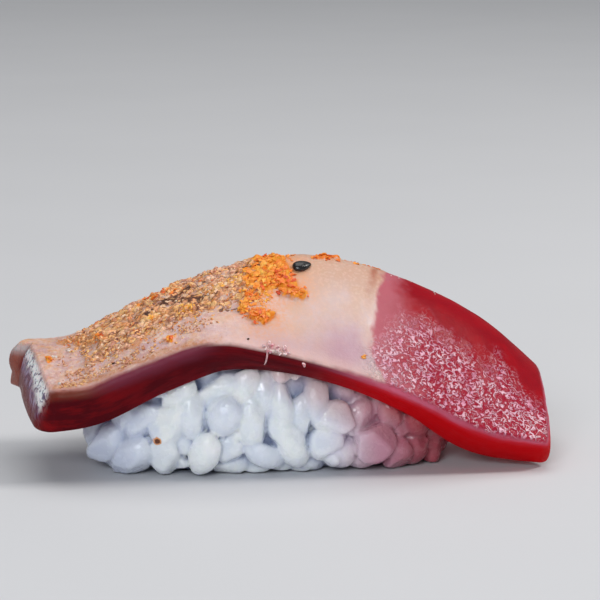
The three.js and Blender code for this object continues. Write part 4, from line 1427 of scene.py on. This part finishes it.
# Chili on the slice: centre along and across, spreads, count, middle tone and largest half length.
CHILI_AREAS = [
    (0.462, -0.3, 0.052, 0.24, 170, 0.34, 0.66), (0.485, -0.07, 0.045, 0.13, 56, 0.5, 0.52),
    (0.5, -0.34, 0.03, 0.16, 60, 0.6, 0.6), (0.52, -0.47, 0.028, 0.06, 50, 0.6, 0.44),
    (0.428, -0.62, 0.013, 0.08, 28, 0.36, 0.5), (0.458, -0.71, 0.034, 0.07, 56, 0.58, 0.46),
    (0.44, -0.52, 0.02, 0.12, 60, 0.42, 0.46), (0.575, -0.03, 0.03, 0.08, 34, 0.5, 0.36),
    (0.462, -0.55, 0.03, 0.14, 60, 0.3, 0.22),
    (0.405, -0.28, 0.04, 0.14, 70, 0.2, 0.34), (0.33, -0.52, 0.026, 0.06, 34, 0.15, 0.36),
    (0.169, -0.33, 0.014, 0.07, 26, 0.55, 0.34), (0.292, -0.8, 0.009, 0.04, 12, 0.45, 0.32),
    (0.275, -0.04, 0.03, 0.08, 44, 0.72, 0.4), (0.26, -0.405, 0.007, 0.03, 7, 0.1, 0.42),
    (0.036, -0.43, 0.009, 0.045, 16, 0.5, 0.34), (0.64, -0.85, 0.004, 0.02, 6, 0.3, 0.28),
    (0.3, -0.1, 0.2, 0.26, 150, 0.4, 0.18), (0.27, -0.55, 0.16, 0.24, 110, 0.4, 0.16),
    (0.66, 0.03, 0.05, 0.08, 22, 0.6, 0.2), (0.12, -0.1, 0.05, 0.3, 40, 0.5, 0.18),
    (0.3, 0.4, 0.22, 0.4, 130, 0.45, 0.22), (0.5, 0.35, 0.08, 0.3, 60, 0.45, 0.3),
]
# Loose toasted crumbs, in the same terms.
CRUMBS = [
    (0.3, -0.25, 0.1, 0.2, 50, 0.3, 0.42), (0.39, -0.3, 0.05, 0.18, 50, 0.3, 0.44),
    (0.2, -0.55, 0.08, 0.2, 50, 0.3, 0.34), (0.2, 0.0, 0.12, 0.18, 90, 0.3, 0.5),
    (0.38, 0.02, 0.1, 0.12, 70, 0.3, 0.5), (0.3, 0.35, 0.15, 0.25, 90, 0.4, 0.4),
    (0.14, -0.84, 0.06, 0.05, 30, 0.5, 0.2), (0.07, -0.4, 0.04, 0.3, 30, 0.4, 0.24),
    (0.11, -0.76, 0.08, 0.16, 110, 0.45, 0.3), (0.22, -0.82, 0.09, 0.12, 110, 0.5, 0.3),
    (0.33, -0.74, 0.07, 0.14, 80, 0.45, 0.28), (0.07, -0.9, 0.06, 0.05, 60, 0.6, 0.26),
]
# Small bits of pale fat, in the same terms.
FAT_BITS = [
    (0.184, -0.6, 0.012, 0.05, 9, 0.3, 0.34), (0.2, -0.535, 0.012, 0.04, 7, 0.3, 0.32),
    (0.1, -0.28, 0.024, 0.05, 9, 0.5, 0.3), (0.16, -0.66, 0.05, 0.12, 16, 0.6, 0.2),
    (0.14, -0.8, 0.07, 0.08, 10, 0.6, 0.2), (0.36, -0.33, 0.05, 0.1, 14, 0.4, 0.32),
    (0.3, 0.3, 0.15, 0.3, 30, 0.5, 0.24), (0.055, -0.36, 0.01, 0.05, 6, 0.2, 0.34),
    (0.482, -0.975, 0.02, 0.016, 22, 0.3, 0.22), (0.034, -0.86, 0.007, 0.02, 6, 0.2, 0.32),
    (0.72, 0.06, 0.04, 0.16, 9, 0.2, 0.15), (0.775, 0.04, 0.04, 0.16, 7, 0.2, 0.14),
]
# Each kind of chip: seeds of its templates, how uneven they are, the seed that scatters them, how flat
# they are, how far they rise and up to which angle in degrees they are shaded smooth.
CHIPS = {
    "chili_flakes": ((1, 2, 3, 4), 0.62, 37, 0.42, 0.12, 75),
    "toasted_crumbs": ((5, 6, 7), 0.4, 59, 0.7, 0.15, 50),
    "char_specks": ((8, 9), 0.4, 67, 0.5, 0.05, 50),
    "fat_bits": ((10, 11), 0.3, 89, 0.5, 0.2, 180),
}
# Strands of tissue that curl out of the cut side, as (along, depth) with depth less than 0 on top.
TISSUE_CURLS = [
    ([(0.464, -0.5), (0.472, -0.15), (0.469, 0.2), (0.473, 0.42), (0.471, 0.6)], 0.14),
    ([(0.531, 0.12), (0.535, 0.1), (0.537, 0.17), (0.536, 0.25)], 0.22),
]
# Knobbly bits in a heap on the rim: where they start, how far each step goes and how thick they are.
TANGLE = {"along": (0.462, 0.506), "depth": (-0.7, 0.02), "count": 30, "step": (0.004, 0.12),
          "thick": (0.11, 0.24), "foot": 0.03, "seed": 97}
# Burnt specks that lie alone, as (along, across, half length).
LONE_SPECKS = [(0.436, -0.915, 0.2), (0.181, -0.79, 0.26), (0.183, -0.78, 0.16)]
SPECK_SPREAD = (0.008, 0.035)


def surface_placings(along, across, turn, rise, size):
    """Placings on the slice's top for small pieces, modelled flat at the origin with their length along X."""
    up = top_normal(along, across)
    place = top_surface(along, across) + up * np.asarray(rise)[..., None]
    lengthwise = unit(np.array([1.0, 0, 0]) - up * up[:, :1])
    sideways = np.cross(up, lengthwise)
    turned = lengthwise * np.cos(turn)[:, None] + sideways * np.sin(turn)[:, None]
    placings = np.tile(np.eye(4), (len(along), 1, 1))
    for i, axis in enumerate((turned, np.cross(up, turned), up)):
        placings[:, :3, i] = axis * size[:, i:i + 1]
    placings[:, :3, 3] = place
    return placings


def chip_template(seed, unevenness):
    """A torn chip of unit half length, made of an uneven ball."""
    start_piece()
    bpy.ops.mesh.primitive_ico_sphere_add(subdivisions=1, radius=1)
    chip = bpy.context.object
    ball = vertex_places(chip.data)
    set_places(chip.data, ball * (1 + unevenness * 2 * bumps(ball, 0.9, seed))[:, None])
    return take_template(chip)


def scatter(name, spots, sizes, tones, material):
    """Many small chips of one kind on the slice's top, each turned and sized by a seeded draw."""
    shapes, unevenness, seed, flatness, rise, crease = CHIPS[name]
    draw = seeded_random(seed)
    along, across = np.array(spots, float).T
    count = len(spots)
    length = np.array(sizes)
    size = np.stack([length, length * [0.6 + 0.35 * draw() for _ in range(count)],
                     length * [flatness * (0.7 + 0.6 * draw()) for _ in range(count)]], axis=1)
    turn = np.array([2 * math.pi * draw() for _ in range(count)])
    lift = np.array([length[i] * rise * (0.4 + draw()) for i in range(count)])
    rock = [Matrix.Rotation(1.2 * centred_draw(draw), 4, "Y") for _ in range(count)]
    placings = [placing @ np.array(rocked) for placing, rocked
                in zip(surface_placings(along, across, turn, lift, size), rock)]
    templates = [chip_template(shape, unevenness) for shape in shapes]
    finish_piece(join_copies(templates, draw, placings, {"tone": tones}), name, material, crease=crease)


def near(draw, along, across, spread_along, spread_across):
    """A place drawn round another."""
    spot_along = along + spread_along * centred_draw(draw)
    return spot_along, across + spread_across * centred_draw(draw)


def flake_spots():
    """Each large flake's place and half length, in the CAD's own order of draws."""
    draw = seeded_random(CHILI_SEED)
    spots = list(LONE_FLAKES)
    for *area, count in CHILI_CLUSTERS:
        spots += [near(draw, *area) for _ in range(count)]
    sizes = []
    for _ in spots:
        sizes.append(draw_between(draw, FLAKE_SIZE))
        for _ in range(5):
            draw()
    return spots, sizes


def spread_over(draw, areas, smallest):
    """Places, half lengths and tones of small pieces strewn over areas."""
    spots, sizes, tones = [], [], []
    for *area, count, tone, largest in areas:
        for _ in range(count):
            spots.append(near(draw, *area))
            sizes.append(draw_between(draw, (smallest, largest)))
            tones.append(min(1, max(0, tone + 0.36 * centred_draw(draw))))
    return spots, sizes, tones


def chili_flakes():
    """Large flakes, and the finer chili strewn round and over them."""
    draw = seeded_random(31)
    spots, sizes, tones = spread_over(draw, CHILI_AREAS, 0.13)
    for spot, length in zip(*flake_spots()):
        spots.append(spot)
        sizes.append(0.6 * length)
        tones.append(0.3 + 0.5 * draw())
    scatter("chili_flakes", spots, sizes, tones, chili_material())


def toasted_crumbs():
    scatter("toasted_crumbs", *spread_over(seeded_random(53), CRUMBS, 0.1), crumb_material())


def fat_bits():
    scatter("fat_bits", *spread_over(seeded_random(83), FAT_BITS, 0.12), fat_material())


def side_point(along, depth):
    """A point on the front cut side, or on top beside its rim where depth is less than 0."""
    u = np.array([along])
    v = np.array([-1 + 0.12 * max(0, -depth)])
    down = max(0, depth)
    top = top_surface(u, v)[0]
    point = top + (underside_point(u, v)[0] - top) * down
    return point + np.array([0, -SIDE_BULGE * 4 * down * (1 - down), 0])


def tangled_strands():
    """Short knobbly bits that lie over each other on the rim."""
    draw = seeded_random(TANGLE["seed"])
    strands = []
    for _ in range(TANGLE["count"]):
        path = [(draw_between(draw, TANGLE["along"]), draw_between(draw, TANGLE["depth"]))]
        for _ in range(4):
            along, depth = near(draw, *path[-1], *TANGLE["step"])
            path.append((along, min(TANGLE["foot"], depth)))
        strands.append((path, draw_between(draw, TANGLE["thick"])))
    return strands


def strand_tube(path, thick):
    """One strand: a round tube along a path, thinner at its ends. A short path repeats its last place."""
    start_piece()
    bpy.ops.curve.primitive_nurbs_path_add()
    curve = bpy.context.object.data
    points = curve.splines[0].points
    points.add(max(0, len(path) - len(points)))
    for i, point in enumerate(points):
        along, depth = path[min(i, len(path) - 1)]
        place = side_point(along, depth) + np.array([0, -0.16 - 0.6 * thick, 0.4 * thick])
        point.co = (*place.tolist(), 1)
        point.radius = 0.55 if i in (0, len(path) - 1) else 1
    curve.bevel_depth = thick
    curve.bevel_resolution = 2
    curve.use_fill_caps = True
    curve.resolution_u = 8
    bpy.ops.object.convert(target="MESH")
    with editing():
        bpy.ops.mesh.remove_doubles(threshold=0.0001)
        bpy.ops.mesh.normals_make_consistent(inside=False)
    bpy.context.object.data.transform(Matrix.Scale(MM, 4))
    return bpy.context.object


def tissue_curls():
    piece = join([strand_tube(path, thick) for path, thick in TISSUE_CURLS + tangled_strands()])
    bpy.ops.object.transform_apply(location=True, rotation=True, scale=True)
    finish_piece(piece, "tissue_curls", tissue_material())


def char_specks():
    """Burnt specks along the scorched lines, and a few that lie alone."""
    draw = seeded_random(61)
    spots, sizes = [spot[:2] for spot in LONE_SPECKS], [spot[2] for spot in LONE_SPECKS]
    for path, width in SCORCHED_LINES + FAINT_LINES:
        corners = np.array(path)
        for _ in range(int(6 + 36 * width)):
            step = draw() * (len(path) - 1)
            i = int(step)
            middle = corners[i] + (corners[i + 1] - corners[i]) * (step - i)
            spots.append(near(draw, *middle, SPECK_SPREAD[0] * width, SPECK_SPREAD[1] * width))
            sizes.append(0.05 + 0.08 * draw() ** 2)
    scatter("char_specks", spots, sizes, [draw() for _ in spots], char_material())


def tinted_material(name, tones, patch, gloss):
    """Small pieces whose tone runs through a row of colours."""
    finish = Finish(name, gloss)
    shade = finish.attribute("tone") + (finish.cloud(patch) - 0.5) * 0.25
    finish.give("Base Color", finish.ramp(shade, tones))
    finish.moisten(0.5, 0.3, 0.25, 0.08)
    return finish


def clouded_material(name, colours, dry, wet):
    """Small pieces that are clouded with two colours."""
    finish = Finish(name, 0.5)
    finish.give("Base Color", finish.mix(finish.cloud(0.6), *colours))
    finish.moisten(dry, wet, 0.3, 0.05)
    return finish


def chili_material():
    finish = tinted_material("dried chili", CHILI_TONES, 0.7, 0.4)
    finish.let_through(0.3, (0.5, 0.4, 0.25))
    return finish.material


def crumb_material():
    finish = tinted_material("toasted crumb", GRANULE_TONES, 0.6, 0.5)
    finish.let_through(0.3, (0.8, 0.5, 0.3))
    return finish.material


def fat_material():
    finish = tinted_material("pale fat", FAT_TONES, 0.8, 0.6)
    finish.let_through(0.4, (0.8, 0.6, 0.5))
    return finish.material


def tissue_material():
    finish = clouded_material("pale tissue", (srgb(242, 208, 206), srgb(212, 132, 142)), 0.45, 0.25)
    finish.let_through(0.5, (0.8, 0.4, 0.4))
    return finish.material


def char_material():
    return tinted_material("charred crust", CHAR_TONES, 0.4, 0.12).material


def seed_material():
    return clouded_material("black sesame", (srgb(14, 14, 17), srgb(36, 34, 36)), 0.36, 0.22).material


def sesame_seed():
    start_piece()
    bpy.ops.mesh.primitive_uv_sphere_add(segments=28, ring_count=18, radius=0.5, rotation=(0, math.pi / 2, 0))
    piece = bpy.context.object
    bpy.ops.object.transform_apply(location=False, rotation=True, scale=False)
    apply_modifier(piece, "SIMPLE_DEFORM", deform_method="TAPER", deform_axis="X", factor=-0.5)
    size = np.array([[SEED["length"], SEED["width"], SEED["thickness"]]])
    along, across, turn = (np.array([SEED[name]]) for name in ("along", "across", "turn"))
    rise = [SEED["thickness"] * 0.34]
    placing = surface_placings(along, across, np.radians(turn), rise, size)[0]
    piece.data.transform(Matrix(placing.tolist()))
    piece.data.transform(Matrix.Scale(MM, 4))
    finish_piece(piece, "sesame_seed", seed_material())


# ---- studio ----

CAMERA = {"azimuth": -6.5, "elevation": 11, "distance": 350, "target": (2.6, 0, 23.2), "view width": 87}


def studio_camera():
    side = math.radians(CAMERA["azimuth"])
    rise = math.radians(CAMERA["elevation"])
    back = Vector((math.sin(side) * math.cos(rise), -math.cos(side) * math.cos(rise), math.sin(rise)))
    bpy.ops.object.camera_add(location=(Vector(CAMERA["target"]) + back * CAMERA["distance"]) * MM)
    camera = bpy.context.object
    camera.rotation_euler = back.to_track_quat("Z", "Y").to_euler()
    camera.data.sensor_width = 36
    camera.data.lens = 36 * CAMERA["distance"] / CAMERA["view width"]
    camera.data.clip_start = 0.01
    bpy.context.scene.camera = camera


def floor_material():
    finish = Finish("pale floor", 0.2)
    cloud = finish.noise(finish.place, 60)
    finish.give("Base Color", finish.mix(cloud, srgb(204, 205, 208), srgb(208, 209, 212)))
    finish.give("Roughness", 0.7)
    return finish.material


def softbox(name, place, target, size, power, colour):
    bpy.ops.object.light_add(type="AREA", location=Vector(place) * MM)
    light = bpy.context.object
    light.name = name
    light.rotation_euler = (Vector(place) - Vector(target)).to_track_quat("Z", "Y").to_euler()
    light.data.shape = "RECTANGLE"
    light.data.size, light.data.size_y = size[0] * MM, size[1] * MM
    light.data.energy = power
    light.data.color = colour


def studio():
    start_piece()
    bpy.ops.mesh.primitive_plane_add(size=8, location=(0, 0, -0.0002))
    floor = bpy.context.object
    floor.name = "floor"
    floor.data.materials.append(floor_material())
    softbox("side softbox", (560, -80, 600), (0, 0, 15), (180, 180), 3.0, (1, 0.97, 0.94))
    softbox("overhead softbox", (0, 300, 1600), (0, 100, 0), (1400, 1400), 13, (1, 0.99, 0.97))
    softbox("front softbox", (-330, -880, 460), (0, 0, 12), (420, 320), 4.6, (0.92, 0.96, 1))
    world = bpy.data.worlds.new("studio air")
    world.use_nodes = True
    world.node_tree.nodes["Background"].inputs["Color"].default_value = (0.92, 0.95, 1, 1)
    world.node_tree.nodes["Background"].inputs["Strength"].default_value = 0.2
    bpy.context.scene.world = world
    bpy.context.scene.view_settings.view_transform = "Standard"


studio()
studio_camera()
tuna_slice()
seared_crust()
rice_mound()
chili_flakes()
toasted_crumbs()
char_specks()
fat_bits()
tissue_curls()
sesame_seed()
